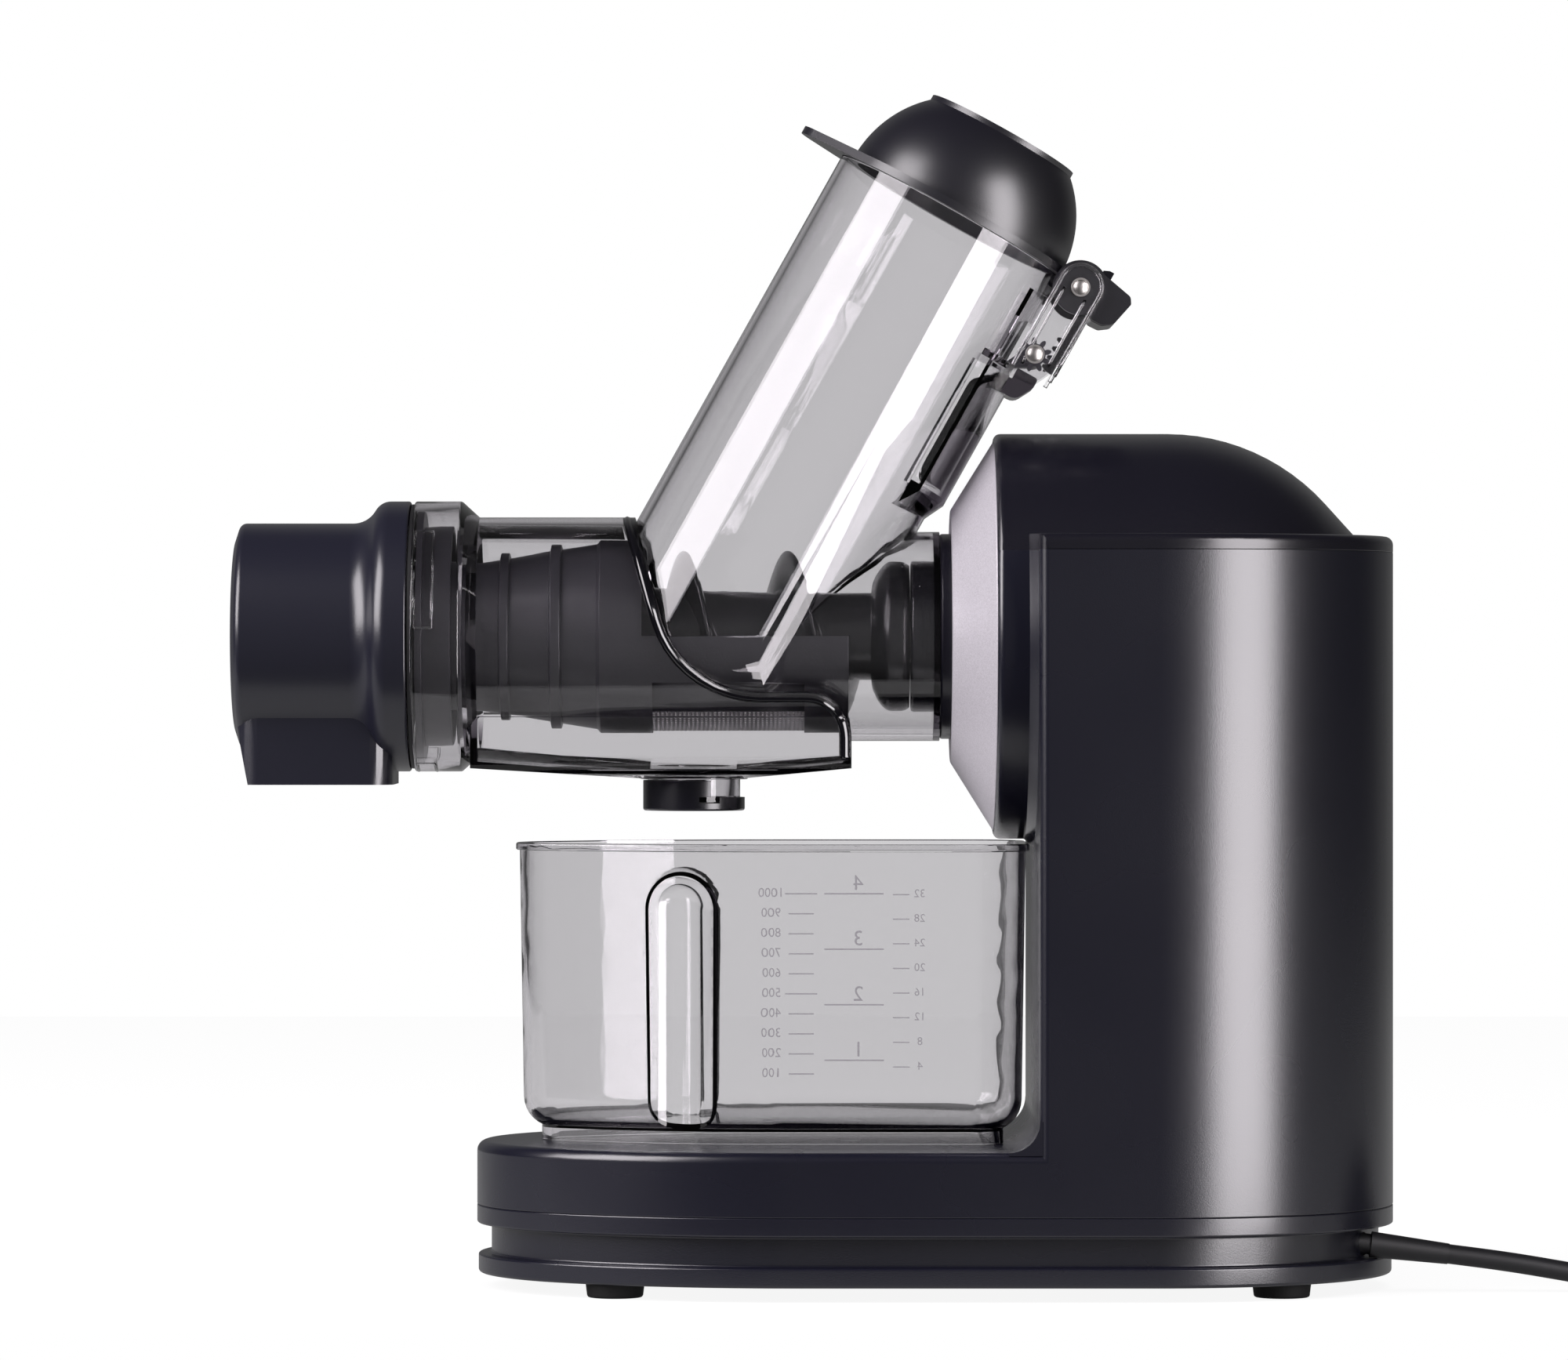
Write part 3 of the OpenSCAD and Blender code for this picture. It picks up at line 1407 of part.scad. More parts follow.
module lid() {
  color(deep_black)
    on_chute()
      difference() {
        union() {
          translate([0, 0, lid_gap]) linear_extrude(lid_t) lid_plan();
          // dome and the lip of its mouth
          intersection() {
            translate([dome_x, 0, dome_z]) sphere(r = dome_r, $fn = 120);
            translate([-far, -far, lid_gap]) cube([2 * far, 2 * far, mouth_h - lid_gap]);
          }
          translate([dome_x, 0, mouth_h - 1]) cylinder(r = mouth_r, h = 1 + 1.8, $fn = 96);
          // tail lever between the ears, with a slot over the gears
          difference() {
            union() {
              across(-hub_out, hub_out) lid_tail();
              for (s = [0, 1])
                mirror([0, s, 0])
                  across(hub_out - hub_t, hub_out)
                    translate([lid_pivot, lid_pivot_u]) circle(r = hub_r, $fn = 96);
              across(-tail_in, hub_out)
                translate([lid_pivot, lid_pivot_u]) circle(r = 6.2, $fn = 72);
              // gear on the lid's hub
              across(-gear_high - 0.4, -gear_low + 0.4)
                translate([lid_pivot, lid_pivot_u])
                  polygon(gear_outline(hinge_gear_teeth, hinge_gear_r, hinge_add, hinge_ded,
                                       hinge_thin));
            }
            across(-gear_high - clear, -gear_low + clear)
              difference() {
                translate([lid_pivot - 6, -20]) square([40, 40]);
                translate([lid_pivot, lid_pivot_u])
                  polygon(gear_outline(hinge_gear_teeth, hinge_gear_r, hinge_add, hinge_ded,
                                       hinge_thin));
              }
            // room for the chute's wall
            translate([0, 0, -40]) cylinder(r = chute_r + 0.5, h = 40 + lid_gap, $fn = 120);
          }
        }
        // inside of the dome
        intersection() {
          translate([dome_x, 0, dome_z]) sphere(r = dome_r - dome_t, $fn = 120);
          translate([-far, -far, -1]) cube([2 * far, 2 * far, far]);
        }
        translate([dome_x, 0, mouth_h - 6]) cylinder(r = mouth_r - mouth_lip, h = 20, $fn = 96);
        translate([lid_pivot, -30, lid_pivot_u])
          rotate([-90, 0, 0]) cylinder(r = pin_r + run, h = 60, $fn = 48);
      }
}

module hinge_pin(at, drop) {
  color(steel)
    on_chute()
      translate([at, 0, drop])
        rotate([90, 0, 0]) {
          translate([0, 0, -ear_in - ear_t - 1.2]) cylinder(r = pin_r, h = 2 * (ear_in + ear_t) + 2, $fn = 48);
          translate([0, 0, ear_in + ear_t]) cylinder(r = 3.3, h = 1.6, $fn = 48);
          translate([0, 0, -ear_in - ear_t - 1.6]) cylinder(r = 2.8, h = 1.6, $fn = 48);
        }
}

module lid_hinge_pin() {
  hinge_pin(lid_pivot, lid_pivot_u);
}

module flap_hinge_pin() {
  hinge_pin(flap_pivot, -flap_depth);
}

// Rack teeth on a vertical pitch line, with a gap at height 0
function rack_teeth(pitch_x, low, high) =
  let (
      p = PI * hinge_m,
      t = tan(pressure),
      half = p / 4 - hinge_thin / 2,
      first = ceil((low - p / 2) / p),
      last = floor((high - p / 2) / p)
  )
  [for (i = [first:last])
      let (mid = p / 2 + i * p)
      each [[pitch_x + hinge_ded, mid - half - hinge_ded * t],
            [pitch_x - hinge_add, mid - half + hinge_add * t],
            [pitch_x - hinge_add, mid + half - hinge_add * t], [pitch_x + hinge_ded, mid + half + hinge_ded * t]]];

rack_back = 58.5;
rack_travel = hinge_gear_r * lid_swing * PI / 180;

module hinge_rack() {
  upper = rack_teeth(lid_pivot + hinge_gear_r, -2.6, rack_travel + 2.6);
  lower = rack_teeth(flap_pivot + hinge_gear_r, -2.6, rack_travel + 2.6);
  upper_up = [for (p = upper) p + [0, lid_pivot_u]];
  lower_up = [for (p = lower) p + [0, -flap_depth]];
  color(deep_black)
    on_chute()
      across(-gear_high, -gear_low)
        polygon(concat(
            [[rack_back, lower_up[0][1]]], lower_up,
            [[flap_pivot + hinge_gear_r + hinge_ded, -9.5], [lid_pivot + hinge_gear_r + hinge_ded, -7.5]],
            upper_up,
            [[rack_back, upper_up[len(upper_up) - 1][1]]]));
}

sleeve_r = 3.9;

module safety_flap() {
  color(deep_black)
    on_chute()
      difference() {
        union() {
          // curved plate that folds into the chute's wall
          intersection() {
            difference() {
              translate([0, 0, -flap_low]) cylinder(r = flap_out_r, h = flap_low, $fn = 120);
              translate([0, 0, -flap_low - 1]) cylinder(r = flap_out_r - flap_t, h = flap_low + 2, $fn = 120);
            }
            translate([20, 0, 0])
              rotate([90, 0, 90])
                linear_extrude(30)
                  polygon(rounded([
                      [-flap_half_w, -flap_low, 5], [flap_half_w, -flap_low, 5],
                      [flap_half_w, -flap_depth - 18, 4], [11, -flap_depth - 10.8, 1],
                      [-11, -flap_depth - 10.8, 1], [-flap_half_w, -flap_depth - 18, 4]], 4));
          }
          // arm and sleeve
          across(-10, 10)
            polygon([[45.2, -flap_depth + 2], [49.4, -flap_depth - 3.6], [42.1, -flap_depth - 8.4],
                     [42.1, -flap_depth - 13.5], [41.2, -flap_depth - 13.5], [40.7, -flap_depth - 7]]);
          across(-gear_low - 0.5, gear_high)
            translate([flap_pivot, -flap_depth]) circle(r = sleeve_r, $fn = 72);
          across(-gear_high, -gear_low)
            translate([flap_pivot, -flap_depth])
              polygon(gear_outline(hinge_gear_teeth, hinge_gear_r, hinge_add, hinge_ded, hinge_thin));
        }
        translate([flap_pivot, -30, -flap_depth])
          rotate([-90, 0, 0]) cylinder(r = pin_r + run, h = 60, $fn = 48);
      }
}

// ---------- jug ----------

jug_draft = 1.6;
jug_foot_h = 4;
jug_foot_in = 9;
jug_bottom_r = 10.8;
rim_h_jug = 2.6;
rim_out = 1.3;
grip_x = -88.4;
grip_r = 12.5;
grip_centre = 44;
grip_top = 130;
jug_low = deck + clear;

module jug_wall_profile(inset) {
  top = jug_low + jug_h;
  low = jug_low + jug_foot_h + (inset > 0 ? inset + 0.2 : 0);
  polygon(rounded([
      [-far, low, 0], [-rim_out - jug_draft - inset, low, jug_bottom_r - inset],
      [-rim_out - inset, top + (inset > 0 ? 1 : 0), 0], [-far, top + (inset > 0 ? 1 : 0), 0]], 8));
}

module grip_form(extra) {
  for (s = [-1, 1])
    translate([grip_x, s * grip_centre, jug_low]) {
      cylinder(r = grip_r + extra, h = grip_top - jug_low, $fn = 72);
      translate([0, 0, grip_top - jug_low]) sphere(r = grip_r + extra, $fn = 72);
    }
}

module juice_jug() {
  top = jug_low + jug_h;
  color(smoke_clear)
    difference() {
      union() {
        difference() {
          around(jug_plan) jug_wall_profile(0);
          grip_form(0);
        }
        // rim and foot
        difference() {
          around(jug_plan)
            polygon(rounded([[-far, top - rim_h_jug, 0], [0, top - rim_h_jug, 0.6], [0, top, 0.8],
                             [-far, top, 0]], 3));
          around(jug_plan)
            polygon([[-far, top - rim_h_jug - 1], [-rim_out - jug_wall, top - rim_h_jug - 1],
                     [-rim_out - jug_wall, top + 1], [-far, top + 1]]);
        }
        difference() {
          around(jug_plan)
            polygon([[-far, jug_low], [-jug_foot_in, jug_low], [-jug_foot_in, jug_low + jug_foot_h + 3],
                     [-far, jug_low + jug_foot_h + 3]]);
          around(jug_plan)
            polygon([[-far, jug_low - 1], [-jug_foot_in - 3, jug_low - 1],
                     [-jug_foot_in - 3, jug_low + jug_foot_h], [-far, jug_low + jug_foot_h]]);
          grip_form(0);
        }
      }
      difference() {
        around(jug_plan) jug_wall_profile(jug_wall);
        grip_form(jug_wall);
      }
    }
}

// ---------- cord ----------

coil_turns_wide = 2;
coil_layers = 3;
coil_centre = [270, 10.7];

// Points along the free cord, from the strain relief to where it joins the coil
cord_route = [[174, -33, 13], [181, -33, 12.1], [188, -33, 11.2], [195, -33, 10.2], [202, -33, 9.1],
              [209, -33, 7.9], [216, -33, 6.7], [223, -33, 5.5], [230, -33, 4.4], [237, -33, 3.7],
              [245.5, -33, 3.4]];

relief_len = cord_route[0][0] - exit_at[0];

// A tube swept along points: a ring of corners square to the route at each
function ahead(p, i) = unit(p[min(i + 1, len(p) - 1)] - p[max(i - 1, 0)]);
function ring(p, i, r, n) =
  let (t = ahead(p, i), side = unit(cross(t, [0, 0, 1])), up = cross(side, t))
  [for (k = [0:n - 1]) p[i] + r * (cos(360 * k / n) * side + sin(360 * k / n) * up)];

module tube(p, r, n = 10) {
  m = len(p);
  polyhedron(
      points = [for (i = [0:m - 1]) each ring(p, i, r, n)],
      faces = concat(
          [[for (k = [0:n - 1]) k]],
          [for (i = [0:m - 2]) for (k = [0:n - 1])
              each [[i * n + k, (i + 1) * n + k, i * n + (k + 1) % n],
                    [i * n + (k + 1) % n, (i + 1) * n + k, (i + 1) * n + (k + 1) % n]]],
          [[for (k = [n - 1:-1:0]) (m - 1) * n + k]]));
}

module power_cord() {
  color(rubber_black) tube(cord_route, cord_d / 2);
}

module strain_relief() {
  reach = norm([relief_len, exit_at[2] - cord_route[0][2]]);
  color(rubber_black)
    relief_frame() {
      translate([0, 0, -relief_grip])
        cylinder(r = relief_hole_r - clear, h = relief_grip + relief_neck + 1, $fn = 48);
      translate([0, 0, relief_neck])
        cylinder(r1 = relief_root_r, r2 = cord_d / 2 + 0.2, h = reach - relief_neck, $fn = 48);
    }
}

// Each layer is a flat spiral, one diameter a turn
coil_w = (coil_turns_wide + 1) * cord_d;
coil_height = coil_layers * cord_d;

module cord_coil() {
  color(rubber_black)
    translate([coil_centre[0], coil_centre[1], 0])
      rotate_extrude($fn = 96)
        polygon(rounded([[coil_r - coil_w / 2, 0, 2.5], [coil_r + coil_w / 2, 0, 2.5],
                         [coil_r + coil_w / 2, coil_height, 2.5], [coil_r - coil_w / 2, coil_height, 2.5]], 3));
}

tie_t = 1.2;
tie_w = 6;

module cord_tie() {
  color(rubber_black)
    translate([coil_centre[0], coil_centre[1] + coil_r, 0])
      rotate([0, 90, 0])
        translate([-coil_height - tie_t, 0, -tie_w / 2])
          linear_extrude(tie_w)
            difference() {
              translate([0, -coil_w / 2 - clear - tie_t])
                square([coil_height + tie_t, coil_w + 2 * (clear + tie_t)]);
              translate([tie_t, -coil_w / 2 - clear]) square([coil_height + 1, coil_w + 2 * clear]);
            }
}

// The plug lies on top of the coil, at its right side, where the cord comes up to it
plug_inset = 5;
plug_at = [coil_centre[0] + coil_r - plug_inset, coil_centre[1], coil_height];
plug_len = 34;
plug_w = 25;
plug_h = 16;
pin_spacing = 12.7;
pin_len = 17;

module plug_body() {
  color(rubber_black)
    translate([plug_at[0] - plug_w / 2, plug_at[1] + plug_len, plug_at[2]])
      rotate([90, 0, 0])
        linear_extrude(plug_len)
          polygon(rounded([[0, 0, 5], [plug_w, 0, 5], [plug_w, plug_h, 5], [0, plug_h, 5]], 4));
}

module plug_pins() {
  color(steel)
    for (s = [-1, 1])
      translate([plug_at[0] + s * pin_spacing / 2 - 0.8, plug_at[1] + plug_len, plug_at[2] + plug_h / 2 - 3.2])
        cube([1.6, pin_len, 6.4]);
}

base_tray();
rubber_feet();
motor_housing();
top_cover();
silver_fascia();
coupling_collar();
shaft_seal();
collar_screws();
base_screws();
gear_case_front();
gear_case();
case_screws();
output_bearing();
output_shaft();
output_gear();
middle_axle();
middle_gear();
motor_can();
motor_stator();
motor_rotor();
cooling_fan();
control_board();
switch_body();
switch_knob();
juicing_chamber();
strainer();
strainer_mesh();
auger();
auger_drive_shaft();
pulp_cap();
cap_seal();
cap_bush();
drip_stop();
spout_seal();
lid();
lid_hinge_pin();
hinge_rack();
safety_flap();
flap_hinge_pin();
juice_jug();
strain_relief();
power_cord();
cord_coil();
cord_tie();
plug_body();
plug_pins();
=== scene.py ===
import math

import bmesh
import bpy
import numpy as np
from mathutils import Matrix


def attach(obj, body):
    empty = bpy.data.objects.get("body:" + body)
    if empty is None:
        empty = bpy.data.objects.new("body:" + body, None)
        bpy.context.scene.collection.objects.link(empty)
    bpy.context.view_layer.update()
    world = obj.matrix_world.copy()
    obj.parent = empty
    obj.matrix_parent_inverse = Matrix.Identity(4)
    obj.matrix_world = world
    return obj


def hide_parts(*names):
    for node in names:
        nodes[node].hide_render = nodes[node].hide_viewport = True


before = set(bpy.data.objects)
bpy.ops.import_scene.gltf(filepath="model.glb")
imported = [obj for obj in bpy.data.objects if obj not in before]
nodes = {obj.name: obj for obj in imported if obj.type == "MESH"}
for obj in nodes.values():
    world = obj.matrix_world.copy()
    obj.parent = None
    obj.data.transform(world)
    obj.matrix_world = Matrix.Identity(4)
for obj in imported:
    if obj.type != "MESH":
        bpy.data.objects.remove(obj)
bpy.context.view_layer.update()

# A cold press juicer: a slow auger in a clear chamber, a leaning feed chute, a jug and a motor column.
# X runs along the auger to the motor, Y to the back, Z up. Lengths in MM are millimetres.
MM = 0.001

# ---------------------------------------------------------------------------------------------
# Camera: a long lens far in front of the juicer, level with its middle, so that upright and
# level edges stay parallel.
picture_mm = 540
camera_away = 2.76
camera_data = bpy.data.cameras.new("camera")
camera_data.sensor_fit = "HORIZONTAL"
camera_data.sensor_width = 36
camera_data.lens = camera_data.sensor_width * camera_away / (picture_mm * MM)
camera_data.clip_end = 20
camera = bpy.data.objects.new("camera", camera_data)
camera.location = (-0.052, -camera_away, 0.2083)
camera.rotation_euler = (math.pi / 2, 0, 0)
bpy.context.scene.collection.objects.link(camera)
bpy.context.scene.camera = camera


# ---------------------------------------------------------------------------------------------
# Power cord: a 1.5 m lead in black PVC. It leaves the base through a tapered strain relief,
# falls to the counter and is wound into a coil of three layers, with the moulded plug on top.
def srgb(colour):
    """A colour in sRGB hex as the linear numbers that a shader takes."""
    c = np.array([int(colour[i:i + 2], 16) for i in (1, 3, 5)]) / 255
    return (*np.where(c <= 0.04045, c / 12.92, ((c + 0.055) / 1.055) ** 2.4), 1)


def put(tree, kind, inputs=(), **settings):
    """Adds a node. Settings are its own options, and inputs gives each socket a value or the socket that
    feeds it."""
    made = tree.nodes.new(kind)
    for name, value in settings.items():
        setattr(made, name, value)
    for name, value in dict(inputs).items():
        if isinstance(value, bpy.types.NodeSocket):
            tree.links.new(value, made.inputs[name])
        else:
            made.inputs[name].default_value = value
    return made


def blank(name):
    """A new material with an empty node tree, and that tree."""
    material = bpy.data.materials.new(name)
    material.use_nodes = True
    material.node_tree.nodes.clear()
    return material, material.node_tree


def keep(piece, body, slot, *stood_for):
    """A finished piece rides on its body and stands for CAD nodes, which are hidden. Its slot is not used."""
    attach(piece, body)
    if stood_for:
        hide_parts(*stood_for)


def soft_pvc():
    """PVC, extruded or moulded: black with a dull sheen and a faint orange peel of about a millimetre."""
    material, tree = blank("black_pvc")
    place = put(tree, "ShaderNodeTexCoord").outputs["Object"]
    peel = put(tree, "ShaderNodeTexNoise", {"Vector": place, "Scale": 900, "Detail": 3})
    bump = put(tree, "ShaderNodeBump", {"Strength": 0.12, "Distance": 0.1 * MM, "Height": peel.outputs["Fac"]})
    dull = put(tree, "ShaderNodeMapRange", {"Value": peel.outputs["Fac"], "To Min": 0.40, "To Max": 0.52})
    shader = put(tree, "ShaderNodeBsdfPrincipled", {
        "Base Color": srgb("#1a1a1d"), "Roughness": dull.outputs["Result"], "Normal": bump.outputs["Normal"]})
    put(tree, "ShaderNodeOutputMaterial", {"Surface": shader.outputs["BSDF"]})
    return material


black_pvc = soft_pvc()
cord_d = 6.7
cord_exit = (145.27, -33.0, 16.54)
# from the strain relief down to the counter, as X and Z
cord_fall = np.array([
    (174, 13), (181, 12.1), (188, 11.2), (195, 10.2), (202, 9.1), (209, 7.9), (216, 6.7), (223, 5.5),
    (230, 4.4), (237, 3.7), (245.5, 3.4)])
cord_route = np.insert(cord_fall, 1, cord_exit[1], axis=1)
coil_centre = (270, 10.7)
coil_mean_r = 37
plug_middle_h = 28.1
inner_r = coil_mean_r - cord_d
outer_r = coil_mean_r + cord_d


def coil_points(steps=24):
    """The wound cord: a flat spiral inwards, a step up, one outwards, a step up and one inwards, each spiral
    a cord's width a turn. The step up takes a quarter of a turn, and the end of the last turn rises to the
    plug."""
    step_up, last_rise, all_turns = 0.25, 0.22, 6.25
    spiral = (outer_r - inner_r) / cord_d
    ends = np.cumsum([0, spiral, step_up, spiral, step_up, all_turns - 2 * spiral - 2 * step_up])
    turn = np.linspace(0, ends[-1], int(ends[-1] * steps) + 1)
    way_in = turn - np.clip(turn - ends[1] - step_up, 0, None)
    way_out = np.clip(turn - ends[2], 0, ends[4] - ends[2])
    again = np.clip(turn - ends[4], 0, None)
    r = outer_r - cord_d * way_in + cord_d * way_out - cord_d * again

    def rise(start, length):
        return (1 - np.cos(np.pi * np.clip((turn - start) / length, 0, 1))) / 2
    level = rise(ends[1], step_up) + rise(ends[3], step_up)
    to_plug = plug_middle_h - 2.5 * cord_d
    z = cord_d / 2 + cord_d * level + to_plug * rise(ends[5] - last_rise, last_rise)
    a = 2 * np.pi * turn - np.pi / 2
    return np.stack([coil_centre[0] + r * np.cos(a), coil_centre[1] + r * np.sin(a), z], axis=1)


cord_line = np.concatenate([[cord_exit], cord_route, coil_points()]) * MM
cord_curve = bpy.data.curves.new("power_lead", "CURVE")
cord_curve.dimensions = "3D"
cord_curve.bevel_depth = cord_d / 2 * MM
cord_curve.bevel_resolution = 4
cord_curve.resolution_u = 3
cord_curve.use_fill_caps = True
spline = cord_curve.splines.new("NURBS")
spline.points.add(len(cord_line) - 1)
spline.points.foreach_set("co", np.c_[cord_line, np.ones(len(cord_line))].ravel())
spline.use_endpoint_u = True
spline.order_u = 4
cord_curve.materials.append(black_pvc)
power_lead = bpy.data.objects.new("power_lead", cord_curve)
bpy.context.scene.collection.objects.link(power_lead)
keep(power_lead, "housing", "rubber", "power_cord", "cord_coil")
for name in ("strain_relief", "cord_tie", "plug_body"):
    nodes[name].data.materials.clear()
    nodes[name].data.materials.append(black_pvc)


# ---------------------------------------------------------------------------------------------
# Studio: a white sweep behind and below, and two tall softboxes that draw the long highlights.
# The sides of the room and the wall behind the camera are dark, so black shells keep their
# depth and clear ones get dark edges.
def calc(tree, operation, a, b):
    """The result of a sum, a product or the like of two values or sockets."""
    return put(tree, "ShaderNodeMath", {0: a, 1: b}, operation=operation).outputs["Value"]


def white_floor():
    """Matt white paper: it takes the soft shadow of the juicer, and is otherwise the white of the room."""
    glow_seen, glow_mirrored, glow_share = 1.05, 0.3, 0.86
    material, tree = blank("white_paper")
    path = put(tree, "ShaderNodeLightPath").outputs
    seen = calc(tree, "MAXIMUM", path["Is Camera Ray"], path["Is Transmission Ray"])
    also = calc(tree, "MAXIMUM", seen, path["Is Glossy Ray"])
    # a ray that clear plastic refracts counts as glossy too
    mirror = calc(tree, "SUBTRACT", path["Is Glossy Ray"], seen)
    level = put(tree, "ShaderNodeMapRange", {"Value": mirror, "To Min": glow_seen, "To Max": glow_mirrored})
    glow = put(tree, "ShaderNodeEmission", {"Color": (1, 1, 1, 1), "Strength": level.outputs["Result"]})
    paper = put(tree, "ShaderNodeBsdfDiffuse", {"Color": srgb("#f7f7f7")})
    both = put(tree, "ShaderNodeMixShader", {
        "Fac": calc(tree, "MULTIPLY", also, glow_share), 1: paper.outputs["BSDF"],
        2: glow.outputs["Emission"]})
    put(tree, "ShaderNodeOutputMaterial", {"Surface": both.outputs["Shader"]})
    return material


floor_mesh = bpy.data.meshes.new("floor")
floor_w, floor_front, floor_back = 1.6, -0.2, 2.2
floor_mesh.from_pydata([(-floor_w, floor_front, 0), (floor_w, floor_front, 0), (floor_w, floor_back, 0),
                        (-floor_w, floor_back, 0)], [], [(0, 1, 2, 3)])
floor_mesh.materials.append(white_floor())
floor = bpy.data.objects.new("floor", floor_mesh)
bpy.context.scene.collection.objects.link(floor)


def softbox(name, azimuth, rise, width, height, away, radiance, aim=0.2):
    """A rectangular lamp, aimed at a height above the floor from an azimuth in degrees to the right of the
    camera."""
    light = bpy.data.lights.new(name, "AREA")
    light.shape = "RECTANGLE"
    light.size = width
    light.size_y = height
    light.energy = radiance * math.pi * width * height
    light.color = srgb("#fffafe")[:3]
    lamp = bpy.data.objects.new(name, light)
    a = math.radians(azimuth)
    lamp.location = (away * math.sin(a), -away * math.cos(a), rise)
    lamp.rotation_euler = (math.pi / 2 - math.atan2(rise - aim, away), 0, a)
    bpy.context.scene.collection.objects.link(lamp)
    return lamp


strip = softbox("softbox_right", 44, rise=0.30, width=0.80, height=2.0, away=1.6, radiance=8.2, aim=0.30)
strip.visible_diffuse = False
softbox("softbox_left", -62, rise=1.25, width=1.15, height=1.7, away=1.6, radiance=7.0, aim=1.0)
overhead = softbox("overhead", 15, rise=1.9, width=1.6, height=1.6, away=1.2, radiance=2.6)
overhead.visible_glossy = False
overhead.visible_transmission = False

world = bpy.data.worlds.new("studio")
world.use_nodes = True
bpy.context.scene.world = world
sky = world.node_tree
sky.nodes.clear()
direction = put(sky, "ShaderNodeTexCoord").outputs["Generated"]
back = put(sky, "ShaderNodeSeparateXYZ", {"Vector": direction}).outputs["Y"]


def glow_towards(near, far, dark, bright):
    """A smooth rise in brightness between two values of a ray's Y, which is 1 straight to the back."""
    return put(sky, "ShaderNodeMapRange", {
        "Value": back, "From Min": near, "From Max": far, "To Min": dark, "To Max": bright},
        interpolation_type="SMOOTHSTEP").outputs["Result"]


# The white sweep stands behind the juicer; rays that clear plastic or a gloss turns aside meet the dark
# room, which is a little lighter at the front
through = glow_towards(0.78, 0.97, 0.10, 1.0)
from_behind = glow_towards(-0.5, -0.97, 0.0, 0.45)
mirrored = glow_towards(0.5, 0.95, 0.03, 0.18)
room_fill = 0.42
path = put(sky, "ShaderNodeLightPath").outputs
within = calc(sky, "MINIMUM", path["Transmission Depth"], 1)
either = put(sky, "ShaderNodeMix", {"Factor": within, 2: mirrored, 3: through})
clear = calc(sky, "MULTIPLY", path["Is Transmission Ray"], calc(sky, "MAXIMUM", through, from_behind))
gloss = calc(sky, "MULTIPLY", path["Is Glossy Ray"], either.outputs[0])
plain = calc(sky, "MULTIPLY", path["Is Diffuse Ray"], room_fill)
strength = calc(sky, "MAXIMUM", calc(sky, "MAXIMUM", clear, gloss), plain)
strength = calc(sky, "MAXIMUM", strength, path["Is Camera Ray"])
room = put(sky, "ShaderNodeBackground", {"Color": (1, 1, 1, 1), "Strength": strength})
put(sky, "ShaderNodeOutputWorld", {"Surface": room.outputs["Background"]})
bpy.context.scene.view_settings.view_transform = "Standard"


# ---------------------------------------------------------------------------------------------
# Base and column: a tray with a cord groove, four rubber feet, and one tall housing, all moulded
# in ABS from a fine spark-eroded tool, so the black has a bluish satin sheen.
def dressed(name, node, body, slot, material, sharp=32):
    """A copy of a CAD node, merged and shaded smooth over every edge that turns less than an angle in
    degrees."""
    merge_mm, flat_weight = 0.002, 90
    mesh = nodes[node].data.copy()
    mesh.name = name
    shell = bmesh.new()
    shell.from_mesh(mesh)
    bmesh.ops.remove_doubles(shell, verts=shell.verts, dist=merge_mm * MM)
    shell.to_mesh(mesh)
    shell.free()
    if "custom_normal" in mesh.attributes:
        mesh.attributes.remove(mesh.attributes["custom_normal"])
    mesh.shade_smooth()
    mesh.set_sharp_from_angle(angle=math.radians(sharp))
    mesh.materials.clear()
    mesh.materials.append(material)
    piece = bpy.data.objects.new(name, mesh)
    bpy.context.scene.collection.objects.link(piece)
    flat = piece.modifiers.new("even_normals", "WEIGHTED_NORMAL")
    flat.keep_sharp = True
    flat.weight = flat_weight
    keep(piece, body, slot, node)
    return piece


def moulded_plastic(name, colour, roughness, grain_mm, depth, specular=0.5, uneven=0.012):
    """Moulded thermoplastic: one colour through, the tool's grain as bump, and a slow drift in its gloss."""
    material, tree = blank(name)
    place = put(tree, "ShaderNodeTexCoord").outputs["Object"]
    grain = put(tree, "ShaderNodeTexNoise", {"Vector": place, "Scale": 1 / (grain_mm * MM), "Detail": 2})
    drift = put(tree, "ShaderNodeTexNoise", {"Vector": place, "Scale": 14, "Detail": 2})
    bump = put(tree, "ShaderNodeBump", {
        "Strength": depth, "Distance": 0.1 * MM, "Height": grain.outputs["Fac"]})
    gloss = put(tree, "ShaderNodeMapRange", {
        "Value": drift.outputs["Fac"], "From Min": 0.3, "From Max": 0.7, "To Min": roughness - uneven,
        "To Max": roughness + uneven})
    shader = put(tree, "ShaderNodeBsdfPrincipled", {
        "Base Color": srgb(colour), "Roughness": gloss.outputs["Result"], "Normal": bump.outputs["Normal"],
        "Specular IOR Level": specular})
    put(tree, "ShaderNodeOutputMaterial", {"Surface": shader.outputs["BSDF"]})
    return material


# Satin ABS: the spark-eroded grain is 0.3 mm, drawn at 0.5 mm so that it shows
satin_abs = moulded_plastic("satin_black_abs", "#10101f", 0.27, 0.5, 0.22, 1.0)
# Polished ABS: the same black from a smoother tool, so its highlights have harder edges
smooth_abs = moulded_plastic("smooth_black_abs", "#14131c", 0.24, 1.2, 0.05, 0.8)
